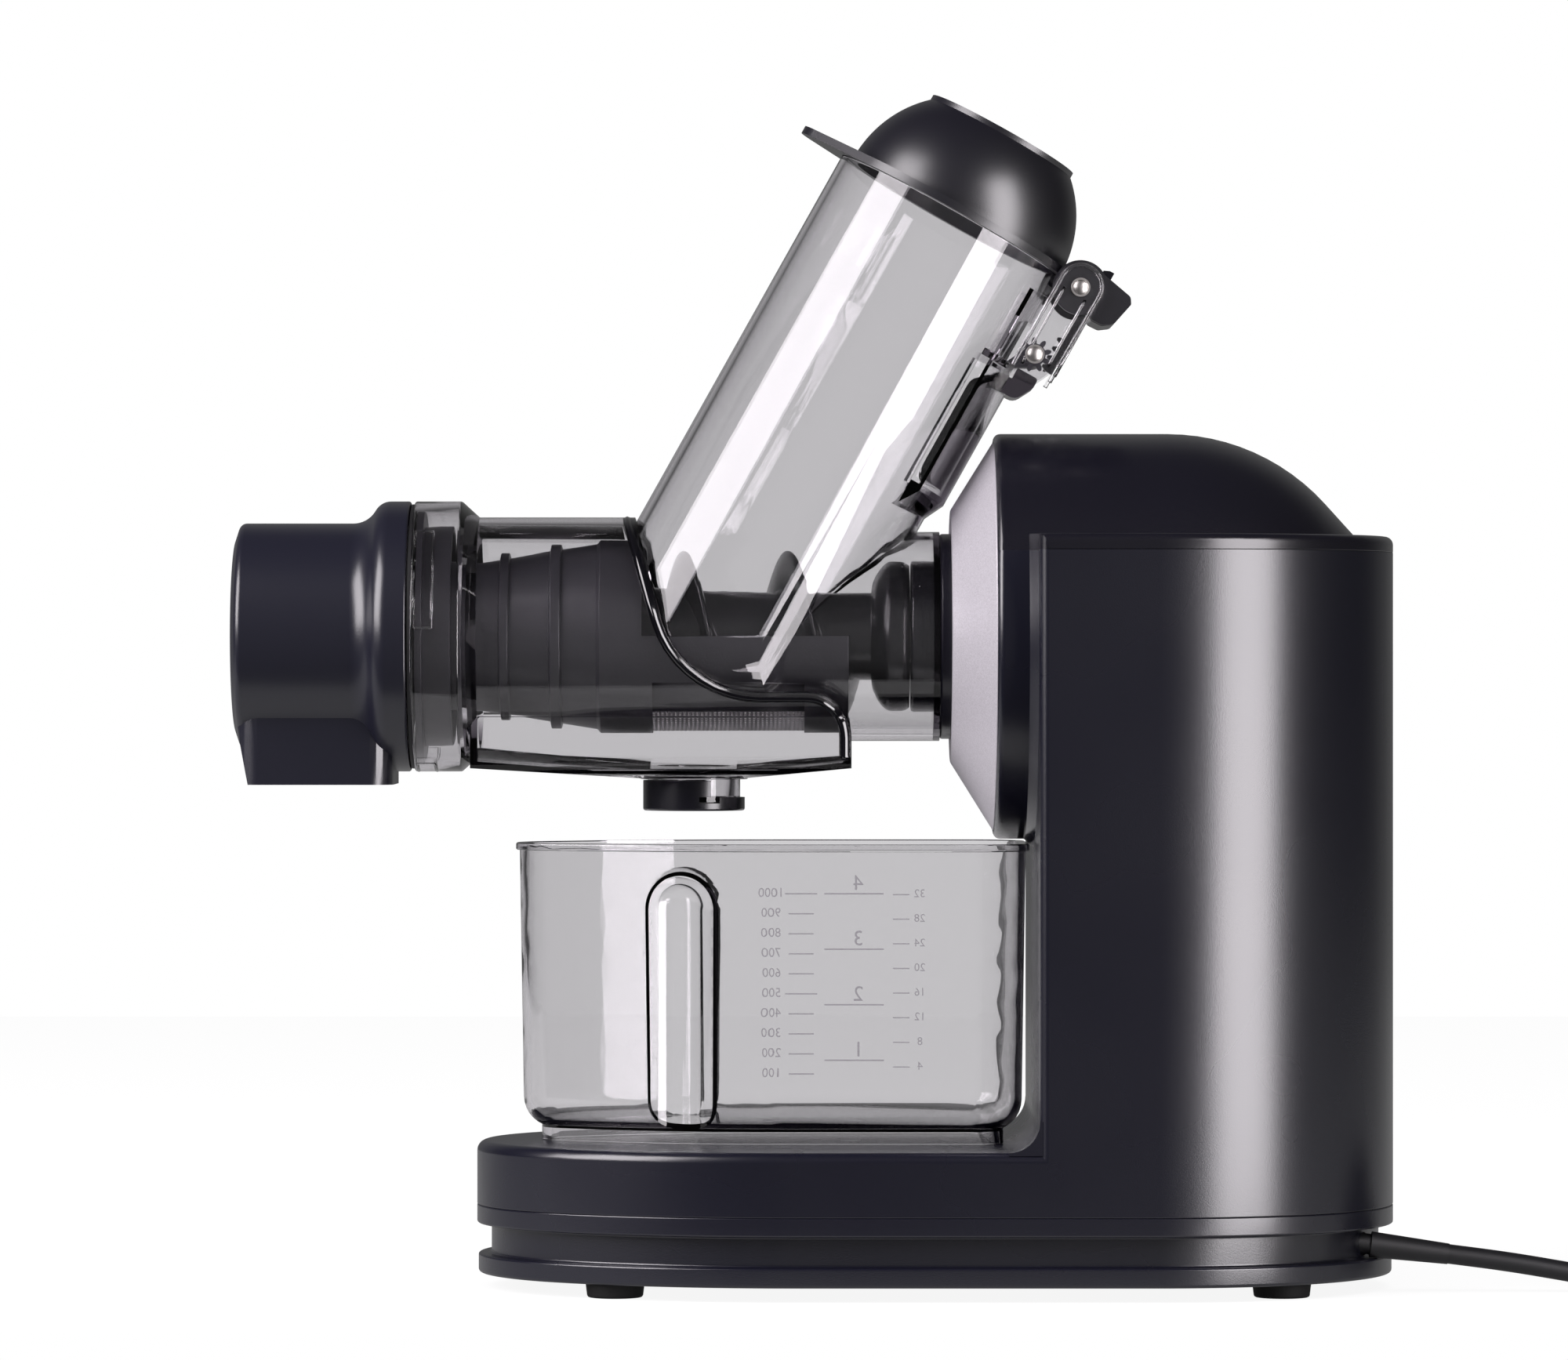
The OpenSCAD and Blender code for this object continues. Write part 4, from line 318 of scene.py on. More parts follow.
# Natural rubber, pressed in a mould: a dull black that hardly mirrors the lamps
foot_rubber = moulded_plastic("black_rubber", "#141414", 0.7, 0.8, 0.3, 0.3)
dressed("base_shell", "base_tray", "housing", "black_abs", satin_abs)
dressed("feet", "rubber_feet", "housing", "rubber", foot_rubber)
dressed("column_shell", "motor_housing", "housing", "black_abs", satin_abs)
dressed("crown_shell", "top_cover", "housing", "gloss_black", smooth_abs)


# ---------------------------------------------------------------------------------------------
# Silver cone: ABS with a fine metallic lacquer, sprayed and baked, so it is satin with a
# faint sparkle of aluminium flakes.
def metallic_lacquer():
    """Flakes of about 0.3 mm tilt the normal a little, each its own way."""
    material, tree = blank("silver_lacquer")
    place = put(tree, "ShaderNodeTexCoord").outputs["Object"]
    flake = put(tree, "ShaderNodeTexVoronoi", {"Vector": place, "Scale": 3500})
    bump = put(tree, "ShaderNodeBump", {
        "Strength": 0.08, "Distance": 0.05 * MM, "Height": flake.outputs["Color"]})
    tint = put(tree, "ShaderNodeMix", {
        "Factor": flake.outputs["Color"], 6: srgb("#b8b4ba"), 7: srgb("#d3cfd6")}, data_type="RGBA")
    shader = put(tree, "ShaderNodeBsdfPrincipled", {
        "Base Color": tint.outputs[2], "Roughness": 0.42, "Metallic": 0.3, "Normal": bump.outputs["Normal"]})
    put(tree, "ShaderNodeOutputMaterial", {"Surface": shader.outputs["BSDF"]})
    return material


dressed("silver_cone", "silver_fascia", "housing", "silver_abs", metallic_lacquer())
dressed("neck_collar", "coupling_collar", "housing", "gloss_black", smooth_abs)
dressed("shaft_lip_seal", "shaft_seal", "housing", "rubber", foot_rubber)


# ---------------------------------------------------------------------------------------------
# Juicing chamber: injection moulded copolyester, smoke grey and clear, with polished walls
# 2.5 mm thick. Where the wide drum ends, its edge is drawn in as a thick round rim that runs
# in an S from the top to the trough, and round rails frame the hinge plates.
def clear_copolyester(name, density_per_m, edge):
    """Polished clear plastic. The grey comes from what its thickness absorbs, and lamps shine through it."""
    material, tree = blank(name)
    place = put(tree, "ShaderNodeTexCoord").outputs["Object"]
    flow = put(tree, "ShaderNodeTexNoise", {"Vector": place, "Scale": 25, "Detail": 2})
    bump = put(tree, "ShaderNodeBump", {"Strength": 0.03, "Distance": 0.2 * MM, "Height": flow.outputs["Fac"]})
    glass = put(tree, "ShaderNodeBsdfPrincipled", {
        "Base Color": (1, 1, 1, 1), "Roughness": 0.02, "IOR": 1.55, "Transmission Weight": 1.0,
        "Normal": bump.outputs["Normal"]})
    shade = put(tree, "ShaderNodeBsdfTransparent", {"Color": srgb(edge)})
    path = put(tree, "ShaderNodeLightPath").outputs
    lets = calc(tree, "MAXIMUM", path["Is Shadow Ray"], path["Is Diffuse Ray"])
    both = put(tree, "ShaderNodeMixShader", {"Fac": lets, 1: glass.outputs["BSDF"], 2: shade.outputs["BSDF"]})
    smoke = put(tree, "ShaderNodeVolumeAbsorption", {"Color": srgb("#8a828e"), "Density": density_per_m})
    put(tree, "ShaderNodeOutputMaterial", {
        "Surface": both.outputs["Shader"], "Volume": smoke.outputs["Volume"]})
    return material


def bent(corners, steps=10):
    """A line through corners given as (x, y, round): each round becomes an arc that touches both sides."""
    line = []
    for i, (x, y, r) in enumerate(corners):
        here = np.array([x, y])
        if r == 0:
            line.append(here[None])
            continue
        u = np.array(corners[i - 1][:2]) - here
        w = np.array(corners[i + 1][:2]) - here
        u, w = u / np.linalg.norm(u), w / np.linalg.norm(w)
        half = math.acos(np.clip(u @ w, -1, 1)) / 2
        middle = here + (u + w) / np.linalg.norm(u + w) * r / math.sin(half)
        first, last = here + u * r / math.tan(half) - middle, here + w * r / math.tan(half) - middle
        turn = math.atan2(first[0] * last[1] - first[1] * last[0], first @ last)
        a = math.atan2(first[1], first[0]) + turn * np.linspace(0, 1, steps)
        line.append(middle + r * np.stack([np.cos(a), np.sin(a)], axis=1))
    return np.concatenate(line)


def evenly(line, step):
    """The same line with points a fixed step apart along its length."""
    along = np.concatenate([[0], np.cumsum(np.linalg.norm(np.diff(line, axis=0), axis=1))])
    wanted = np.linspace(0, along[-1], max(2, int(along[-1] / step)))
    return np.stack([np.interp(wanted, along, c) for c in line.T], axis=1)


def grid_mesh(name, points, material, wrap_v=True, caps=True):
    """A surface on a grid of rows and columns in millimetres. Columns may close on themselves, and each end
    row may be closed by a fan round its middle."""
    rows, columns = points.shape[:2]
    flat = points.reshape(-1, 3)
    i = np.arange(rows - 1)[:, None] * columns
    j = np.arange(columns if wrap_v else columns - 1)[None]
    k = (j + 1) % columns
    quads = np.stack([i + j, i + k, i + columns + k, i + columns + j], axis=-1).reshape(-1, 4)
    faces = quads.tolist()
    if caps:
        first, last = len(flat), len(flat) + 1
        flat = np.concatenate([flat, points[0].mean(axis=0)[None], points[-1].mean(axis=0)[None]])
        j, k = np.arange(columns), (np.arange(columns) + 1) % columns
        faces += np.stack([k, j, np.full(columns, first)], axis=1).tolist()
        start = (rows - 1) * columns
        faces += np.stack([start + j, start + k, np.full(columns, last)], axis=1).tolist()
    mesh = bpy.data.meshes.new(name)
    mesh.from_pydata((flat * MM).tolist(), [], faces)
    mesh.materials.append(material)
    return mesh


def round_bar(line, r, out, sides=12, flat=0.0, flat_turn=0.0):
    """A round section carried along a line. Each ring is square to the line and starts in the outward
    direction. A flat may be cut off it, so deep, where the ring has turned so many degrees."""
    ahead = np.gradient(line, axis=0)
    ahead /= np.linalg.norm(ahead, axis=1)[:, None]
    out = np.broadcast_to(np.asarray(out, float), line.shape)
    out = out - (out * ahead).sum(axis=1)[:, None] * ahead
    out /= np.linalg.norm(out, axis=1)[:, None]
    side = np.cross(ahead, out)
    a = np.linspace(0, 2 * np.pi, sides, endpoint=False)
    reach = np.minimum(r, (r - flat) / np.clip(np.cos(a - math.radians(flat_turn)), 0.01, None))
    along_out, along_side = (reach * np.cos(a))[:, None], (reach * np.sin(a))[:, None]
    return line[:, None] + along_out * out[:, None] + along_side * side[:, None]


def placed(name, mesh, body, slot, *stood_for):
    """An object for a finished mesh, with its faces turned outwards and shaded smooth."""
    shell = bmesh.new()
    shell.from_mesh(mesh)
    bmesh.ops.recalc_face_normals(shell, faces=shell.faces)
    shell.to_mesh(mesh)
    shell.free()
    mesh.shade_smooth()
    piece = bpy.data.objects.new(name, mesh)
    bpy.context.scene.collection.objects.link(piece)
    keep(piece, body, slot, *stood_for)
    return piece


axis_h = 223.3
drum_r = 41.0
trough_half_w = 30.3
# Clear copolyester from a polished tool: sharp reflections, and grey where light goes far in it
smoke_clear = clear_copolyester("clear_smoke_copolyester", 150, "#e6e4e8")
# The rim's copolyester as an opaque near-black gloss: painted shade for the dark band that a thick clear edge
# shows by refraction. Its sharp reflections of the lamps are real
rim_painted_dark_plastic = moulded_plastic("rim_copolyester_painted_dark", "#0c0b10", 0.07, 2.0, 0.02, 1.0, 0.01)
dressed("clear_chamber", "juicing_chamber", "housing", "smoke_clear", smoke_clear, 25)

# The S-shaped rim, in the XZ plane, then laid on the drum and on the trough's flat side
rim_bar_r, rim_flat, rim_sunk = 1.9, 0.3, 1.5
lamp_turn = 21.5
edge_lean = math.tan(math.radians(16))
rim_right = -29 - rim_bar_r
rim_foot_x, rim_foot_h = -87.7, 203.9 - rim_bar_r
edge_top = axis_h + drum_r
rim_plan = evenly(bent([
    (rim_right, 181, 0), (rim_right, rim_foot_h, 13.5), (rim_foot_x, rim_foot_h, 36.5),
    (rim_foot_x - (edge_top - rim_foot_h) * edge_lean, edge_top - 0.01, 0)]), 0.25)
reach = np.sqrt(np.clip(drum_r ** 2 - (rim_plan[:, 1] - axis_h) ** 2, 0, None))
flat_side_below = axis_h - 28
reach = np.where(rim_plan[:, 1] < flat_side_below, np.maximum(reach, trough_half_w), reach)
front = np.stack([rim_plan[:, 0], -reach, rim_plan[:, 1]], axis=1)
loop = evenly(np.concatenate([front, front[::-1] * [1, -1, 1]]), 1.5)
# Outwards is square to the axis on the drum, and straight to the side on the trough. The flat faces
# halfway between the camera and the right softbox, so it carries a white line
height = loop[:, 2] - axis_h
outwards = np.stack([0 * height, loop[:, 1], height * np.clip((height + 34) / 20, 0, 1)], axis=1)
outwards /= np.linalg.norm(outwards, axis=1)[:, None]
loop = loop - outwards * rim_sunk
# The rim's near-black is painted shade, and the white line on its flat is a real reflection of the softbox
rim_bar = round_bar(loop, rim_bar_r, outwards, 48, rim_flat, lamp_turn)
placed("drum_edge_rim", grid_mesh("drum_edge_rim", rim_bar, rim_painted_dark_plastic), "housing", "smoke_clear")

# The drum's roof is thick, down to a flat underside just above the strainer
roof_r, roof_low = 38.2, 33.5
roof_left, roof_right, roof_columns = -156.3, -106.7, 25
turn = math.acos(roof_low / roof_r) * np.linspace(-1, 1, roof_columns)
roof_y, roof_h = roof_r * np.sin(turn), roof_r * np.cos(turn)
roof_ends = [np.full(roof_columns, roof_left), roof_right - (roof_h - roof_low) * edge_lean]
roof = np.stack([np.stack([end, roof_y, axis_h + roof_h], axis=-1) for end in roof_ends])
placed("drum_roof", grid_mesh("drum_roof", roof, smoke_clear), "housing", "smoke_clear")


def trough_floor(name, *ends):
    """A slab on the trough's floor between two places, each given as X, its underside's height and its
    thickness: its section is as wide as the trough's rounded inside at each height, and its thickness
    changes evenly."""
    half_w, corner_r, gap, rows = 27.4, 5.5, 0.15, 8

    def section(x, low, thick):
        h = np.linspace(gap, thick, rows)
        w = half_w - corner_r + np.sqrt(corner_r ** 2 - np.clip(corner_r - h, 0, corner_r) ** 2)
        y, z = np.concatenate([w, -w[::-1]]), low + np.concatenate([h, h[::-1]])
        return np.stack([np.full(2 * rows, x), y, z], axis=1)

    grid = np.stack([section(*end) for end in ends])
    placed(name, grid_mesh(name, grid, smoke_clear), "housing", "smoke_clear")


trough_floor("trough_floor_left", (-156.2, 180.7, 4.4), (-97.8, 177.1, 2.4))
trough_floor("trough_floor_right", (-68.2, 177.1, 1.8), (-31.9, 180.4, 1.8))

# Three bayonet windows in the end collar, each with a raised edge, drawn as X and an angle in radians
collar_r, window_bar_r = 46.2, 0.5
window_left, window_right, window_round = -177.6, -171.4, 0.03
window_from, window_mid, window_to = 0.69, 1.0, 1.514
window = evenly(bent([
    (window_left, window_mid, 0), (window_left, window_to, window_round),
    (window_right, window_to, window_round), (window_right, window_from, window_round),
    (window_left, window_from, window_round), (window_left, window_mid, 0)], 4), 0.3)
windows = 3
for number in range(windows):
    turn = window[:, 1] + number * 2 * math.pi / windows
    away = np.stack([0 * turn, -np.sin(turn), np.cos(turn)], axis=1)
    edge = away * collar_r + np.stack([window[:, 0], 0 * turn, 0 * turn + axis_h], axis=1)
    name = f"bayonet_edge_{number}"
    placed(name, grid_mesh(name, round_bar(edge, window_bar_r, away), smoke_clear), "housing", "smoke_clear")


# ---------------------------------------------------------------------------------------------
# Feed chute: it leans back over the motor. Both hinge plates have a round rail along their
# edge and two ribs inside it, moulded in one with the chute.
chute_lean = math.radians(29.3)
rim_x, rim_h = 5.3, 367.6


def on_chute(v, y, u):
    """Points across the chute (v), along Y, and up its axis from the rim (u), in the part's own frame."""
    c, s = math.cos(chute_lean), math.sin(chute_lean)
    return np.stack([rim_x + v * c + u * s, y + 0 * v, rim_h - v * s + u * c], axis=-1)


rail_y = 24.0
rail_r, rib_r = 0.75, 0.5
ear_line = evenly(bent([(43.4, -35, 0), (43.4, 7.1, 7.0), (57.9, 7.1, 7.2), (57.3, -34, 0)], 14), 0.6)
ribs = [evenly(np.array(ends), 2) for ends in ([(45.9, -33.0), (45.9, -3.0)], [(54.2, -29.5), (54.2, -3.5)])]
for side, where in ((-1, "front"), (1, "back")):
    for number, plan in enumerate([ear_line, *ribs]):
        bar = on_chute(plan[:, 0], side * rail_y, plan[:, 1])
        bar = round_bar(bar, rail_r if number == 0 else rib_r, (0, 1, 0), 10)
        name = f"hinge_rail_{where}_{number}"
        placed(name, grid_mesh(name, bar, smoke_clear), "housing", "smoke_clear")

# ---------------------------------------------------------------------------------------------
# Strainer: a black glass-filled nylon cone that presses the pulp dry. Its underside holds a
# stainless sheet, perforated by a press with round holes in straight rows and rolled to fit.
# Nylon: the tool's grain shows through the clear wall
strainer_nylon = moulded_plastic("black_nylon", "#3a3a3e", 0.38, 0.8, 0.3, 0.8)
dressed("strainer_cone", "strainer", "housing", "auger_black", strainer_nylon)


def metal(name, colour, roughness, grain=(1, 1, 1), grain_mm=0.4, depth=0.1):
    """Bare metal: noise, drawn out along one axis where the surface was turned or brushed, moves gloss and
    normal."""
    material, tree = blank(name)
    place = put(tree, "ShaderNodeTexCoord").outputs["Object"]
    drawn = put(tree, "ShaderNodeMapping", {"Vector": place, "Scale": grain})
    lines = put(tree, "ShaderNodeTexNoise", {
        "Vector": drawn.outputs["Vector"], "Scale": 1 / (grain_mm * MM), "Detail": 3})
    bump = put(tree, "ShaderNodeBump", {
        "Strength": depth, "Distance": 0.05 * MM, "Height": lines.outputs["Fac"]})
    gloss = put(tree, "ShaderNodeMapRange", {
        "Value": lines.outputs["Fac"], "To Min": roughness * 0.8, "To Max": roughness * 1.2})
    shader = put(tree, "ShaderNodeBsdfPrincipled", {
        "Base Color": srgb(colour), "Metallic": 1.0, "Roughness": gloss.outputs["Result"],
        "Normal": bump.outputs["Normal"]})
    put(tree, "ShaderNodeOutputMaterial", {"Surface": shader.outputs["BSDF"]})
    return material


def thicken(piece, thick):
    """Gives a surface a wall, half of it on each side."""
    wall = piece.modifiers.new("wall", "SOLIDIFY")
    wall.thickness = thick * MM
    wall.offset = 0


def perforated_sheet(name, x0, x1, r, half_angle, pitch, hole_r, thick, material):
    """A rolled sheet about the auger's axis. One square cell holds a ring of 16 points on its edge and 16 on
    its hole; cells repeat along X and along the arc, and the flat sheet is rolled to the radius."""
    across, around = round((x1 - x0) / pitch), round(2 * math.radians(half_angle) * r / pitch)
    a = np.arange(16) * np.pi / 8 + np.pi / 4
    steps = np.array([(1, 1), (0.5, 1), (0, 1), (-0.5, 1), (-1, 1), (-1, 0.5), (-1, 0), (-1, -0.5),
                      (-1, -1), (-0.5, -1), (0, -1), (0.5, -1), (1, -1), (1, -0.5), (1, 0), (1, 0.5)])
    cell = np.concatenate([steps / 2, hole_r / pitch * np.stack([np.cos(a), np.sin(a)], axis=1)])
    i, j = np.meshgrid(np.arange(across), np.arange(around), indexing="ij")
    centre = np.stack([i.ravel() + 0.5, j.ravel() + 0.5], axis=1)
    flat = (centre[:, None] + cell[None]).reshape(-1, 2)
    x = x0 + (x1 - x0) * flat[:, 0] / across
    angle = np.radians(half_angle) * (2 * flat[:, 1] / around - 1)
    points = np.stack([x, r * np.sin(angle), axis_h - r * np.cos(angle)], axis=1) * MM
    k = np.arange(16)
    quad = np.stack([k, (k + 1) % 16, 16 + (k + 1) % 16, 16 + k], axis=1)
    faces = (np.arange(len(centre))[:, None, None] * 32 + quad[None]).reshape(-1, 4)
    mesh = bpy.data.meshes.new(name)
    mesh.from_pydata(points.tolist(), [], faces.tolist())
    shell = bmesh.new()
    shell.from_mesh(mesh)
    bmesh.ops.remove_doubles(shell, verts=shell.verts, dist=0.01 * MM)
    shell.to_mesh(mesh)
    shell.free()
    mesh.materials.append(material)
    thicken(placed(name, mesh, "housing", "steel", "strainer_mesh"), thick)


# Stainless steel, pressed and tumbled: fine scratches each way
sheet_steel = metal("perforated_stainless_steel", "#cfccce", 0.42)
sheet_r, sheet_x0, sheet_x1, sheet_turn, web_turn = 32.2, -97, -45, 39.0, 61.9
sheet_pitch, sheet_hole_r, sheet_t, web_t = 1.5, 0.48, 0.5, 0.6
perforated_sheet("perforated_strainer_sheet", sheet_x0, sheet_x1, sheet_r, sheet_turn, sheet_pitch,
                 sheet_hole_r, sheet_t, sheet_steel)
# Plain nylon webs fill the strainer's window on both sides of the sheet
web_turns = np.radians(np.linspace(sheet_turn, web_turn, 13))
web_x, turn = np.meshgrid([sheet_x0, sheet_x1], web_turns, indexing="ij")
for side, where in ((-1, "front"), (1, "back")):
    web = np.stack([web_x, side * sheet_r * np.sin(turn), axis_h - sheet_r * np.cos(turn)], axis=-1)
    name = f"strainer_web_{where}"
    web_mesh = grid_mesh(name, web, strainer_nylon, wrap_v=False, caps=False)
    thicken(placed(name, web_mesh, "housing", "auger_black"), web_t)


# ---------------------------------------------------------------------------------------------
# Auger: one moulding in black nylon on a steel shaft, with a spiral fin that carries the fruit
# forwards and a bell-shaped flange that wipes the back of the chamber.
def auger_surface():
    """Rings along X of radius core + fin. The fin's height follows the core out to the flight radius, and
    round each ring it falls off as 1 - (angle / half width) cubed. The columns turn with the fin, so its
    edge stays sharp."""
    tip, back, front_of_flange = -176.0, -9.0, -22.0
    core_r, flange_r, flight_r, pitch, half = 15.0, 25.7, 29.4, 36.0, 24.0
    cone_start, cone_end, tip_r, cone_tip_r, cone_end_r = -156.5, -116.2, 7.0, 25.4, 31.9
    # the strainer's wall and the fin's way inside it, the core's swell and where the fin stands straight up
    wall, swell, up_at = 2.5 + 0.7, 4.5, -50.6
    x = np.concatenate([np.linspace(tip, cone_start, 40), np.arange(cone_start + 0.5, front_of_flange, 0.8),
                        np.linspace(front_of_flange, back, 40)])

    def ramp(a, b):
        return np.clip((x - a) / (b - a), 0, 1)
    dome = tip_r + (core_r + swell - tip_r) * np.sqrt(1 - (1 - ramp(tip, cone_start)) ** 2)
    core = np.where(x > cone_start, core_r + swell * (1 - ramp(cone_start, -60)), dome)
    bell = core_r + (flange_r - core_r - 1.5) * np.sqrt(ramp(front_of_flange, front_of_flange + 4))
    rim = flange_r - 1.5 * (ramp(front_of_flange + 4, front_of_flange + 7) - 1) ** 2
    rim = rim - 1.2 * ramp(back - 3, back) ** 2
    core = np.where(x > front_of_flange, bell, core)
    core = np.where(x > front_of_flange + 4, rim, core)
    cone = cone_tip_r + (cone_end_r - cone_tip_r) * (x - cone_start) / (cone_end - cone_start) - wall
    start = core + (cone_tip_r - wall - core_r - swell) * ramp(cone_start - 6, cone_start)
    tall = np.where(x > cone_end + 3, flight_r, np.minimum(flight_r, cone))
    tall = np.where(x > cone_start, tall, start)
    tall = np.where(x > front_of_flange, core, tall)
    w = np.concatenate([np.linspace(-half, half, 49), np.linspace(half, 360 - half, 60)[1:-1]])
    off = np.where(w > 180, w - 360, w)
    fin = np.clip(1 - (abs(off) / half) ** 3, 0, None)
    r = core[:, None] + np.clip(tall - core, 0, None)[:, None] * fin[None]
    # straight up is the angle 180, and the angle grows towards the front
    a = np.radians(w[None] + 180 - 360 * (x[:, None] - up_at) / pitch)
    return np.stack([np.broadcast_to(x[:, None], r.shape), -r * np.sin(a), axis_h - r * np.cos(a)], axis=-1)


# Nylon from a polished tool: a soft sheen on the fin
auger_nylon = moulded_plastic("polished_black_nylon", "#17171b", 0.26, 1.0, 0.06, 0.8)
auger_mesh = grid_mesh("auger_screw", auger_surface(), auger_nylon)
placed("auger_screw", auger_mesh, "drive", "auger_black", "auger")
pin_from, pin_to, front_pin_r = -195, -175.5, 4.5
pin_line = np.linspace([pin_from, 0, axis_h], [pin_to, 0, axis_h], 8)
pin_mesh = grid_mesh("auger_front_pin", round_bar(pin_line, front_pin_r, (0, 0, 1), 32), auger_nylon)
placed("auger_front_pin", pin_mesh, "drive", "auger_black")

# ---------------------------------------------------------------------------------------------
# Pulp cap, drip stop and their seals: satin ABS, silicone rubber and an acetal bush.
# ABS from the spark-eroded tool again: highlights a little broader than the column's
cap_abs = moulded_plastic("satin_cap_abs", "#1b1b27", 0.28, 0.5, 0.22, 0.9)
# Silicone, pressed in a mould: black with a soft greyish shine
silicone = moulded_plastic("black_silicone", "#1c1c1e", 0.55, 1.0, 0.1, 0.4)
# Natural acetal, moulded: off-white, with a waxy shine
acetal = moulded_plastic("natural_acetal", "#dcd9d0", 0.35, 1.0, 0.1)
dressed("pulp_spout_cap", "pulp_cap", "pulp_cap_body", "gloss_black", cap_abs)
dressed("drip_ring", "drip_stop", "drip_stop_body", "gloss_black", smooth_abs)
dressed("cap_lip_seal", "cap_seal", "housing", "rubber", silicone)
dressed("drip_lip_seal", "spout_seal", "drip_stop_body", "rubber", silicone)
dressed("front_bush", "cap_bush", "pulp_cap_body", "gear_nylon", acetal)

# ---------------------------------------------------------------------------------------------
# Lid, hinge and safety flap: a rack between two small gears swings the flap as the lid opens.
# The lid is satin and the rack polished ABS, the flap is smoke grey and the pins are turned steel.
# ABS under a coarser tool finish: the dome's highlight spreads out wide
lid_abs = moulded_plastic("satin_lid_abs", "#14131c", 0.33, 0.5, 0.2, 1.0)
dressed("chute_lid", "lid", "lid_body", "gloss_black", lid_abs)
dressed("linkage_rack", "hinge_rack", "rack_body", "gloss_black", smooth_abs)
# Copolyester with more black in it: the flap reads darker than the chute's wall
dark_smoke = clear_copolyester("dark_smoke_copolyester", 220, "#a09da3")
flap = dressed("chute_flap", "safety_flap", "flap_body", "gloss_black", dark_smoke)
# Its gear and sleeve are an insert of grey acetal, which is matt and opaque
flap.data.materials.append(moulded_plastic("grey_acetal", "#5a5a60", 0.45, 0.6, 0.2))
lid_pin_at, flap_pin_at, insert_r = (50.7, -0.4), (48.2, -28.0), 6.3
centres = np.empty(3 * len(flap.data.polygons))
flap.data.polygons.foreach_get("center", centres)
gap = centres.reshape(-1, 3) / MM - on_chute(flap_pin_at[0], 0.0, flap_pin_at[1])
in_insert = np.hypot(gap[:, 0], gap[:, 2]) < insert_r
flap.data.polygons.foreach_set("material_index", in_insert.astype(np.int32))
# Turned stainless steel: rings round the pins' axis
pin_steel = metal("turned_stainless_steel", "#d9d6d2", 0.36, (1, 0.1, 1), 0.5)


def turned_pin(name, node, v, u):
    """A pin along Y as a radius for each depth: a domed head in front, its washer, the shank and a head
    behind."""
    sides, half_len, dome_r = 32, 25.6, 4.53
    lift = np.radians(np.linspace(4, 32, 8))
    dome = np.stack([dome_r * np.sin(lift), -half_len + dome_r * (1 - np.cos(lift))], axis=1)
    rest = [(2.5, -24.75), (2.6, -24.5), (3.2, -24.5), (3.3, -24.4), (3.3, -24.05), (1.75, -24.0),
            (1.75, 24.0), (2.7, 24.05), (2.8, 24.15), (2.8, 25.2), (2.5, 25.5), (1.0, half_len)]
    r, y = np.concatenate([dome, rest]).T
    a = np.linspace(0, 2 * np.pi, sides, endpoint=False)
    x0, y0, z0 = on_chute(v, 0.0, u)
    points = np.stack([x0 + r[:, None] * np.cos(a), np.broadcast_to(y0 + y[:, None], (len(r), sides)),
                       z0 + r[:, None] * np.sin(a)], axis=-1)
    pin = placed(name, grid_mesh(name, points, pin_steel), "housing", "steel", node)
    pin.data.set_sharp_from_angle(angle=math.radians(35))


turned_pin("lid_pin", "lid_hinge_pin", *lid_pin_at)
turned_pin("flap_pin", "flap_hinge_pin", *flap_pin_at)

# ---------------------------------------------------------------------------------------------
# Juice jug: the same clear grey plastic as the chamber, 2.2 mm thick. Its scale is etched into
# the tool, so the lines and numerals stand 0.3 mm proud of the back wall and are slightly matt.
dressed("clear_jug", "juice_jug", "jug_body", "smoke_clear", smoke_clear, 25)


def matt_marks():
    """Raised plastic with a matt etch: it scatters a sixth of the light, and its grain is about 0.2 mm."""
    material, tree = blank("etched_copolyester")
    place = put(tree, "ShaderNodeTexCoord").outputs["Object"]
    etch = put(tree, "ShaderNodeTexNoise", {"Vector": place, "Scale": 5000, "Detail": 2})
    share = put(tree, "ShaderNodeMapRange", {"Value": etch.outputs["Fac"], "To Min": 0.10, "To Max": 0.24})
    frost = put(tree, "ShaderNodeBsdfPrincipled", {"Base Color": srgb("#9a959d"), "Roughness": 0.5})
    clear = put(tree, "ShaderNodeBsdfTransparent", {"Color": srgb("#f4f2f5")})
    both = put(tree, "ShaderNodeMixShader", {
        "Fac": share.outputs["Result"], 1: clear.outputs["BSDF"], 2: frost.outputs["BSDF"]})
    put(tree, "ShaderNodeOutputMaterial", {"Surface": both.outputs["Shader"]})
    return material


jug_low, jug_top = 50.5, 152.5
mark_depth = 0.3


def back_wall(x, z):
    """How far back the jug's outer face stands: a flat, then a wide arc at the left, leaning in towards the
    foot."""
    arc_at, arc_r, half_w, lip, lean = -52.3, 138, 46, 1.3, 1.6
    bow = np.where(x < arc_at, arc_r - np.sqrt(arc_r ** 2 - np.clip(arc_at - x, 0, 90) ** 2), 0)
    return half_w - lip - lean * (jug_top - z) / (jug_top - jug_low) - bow


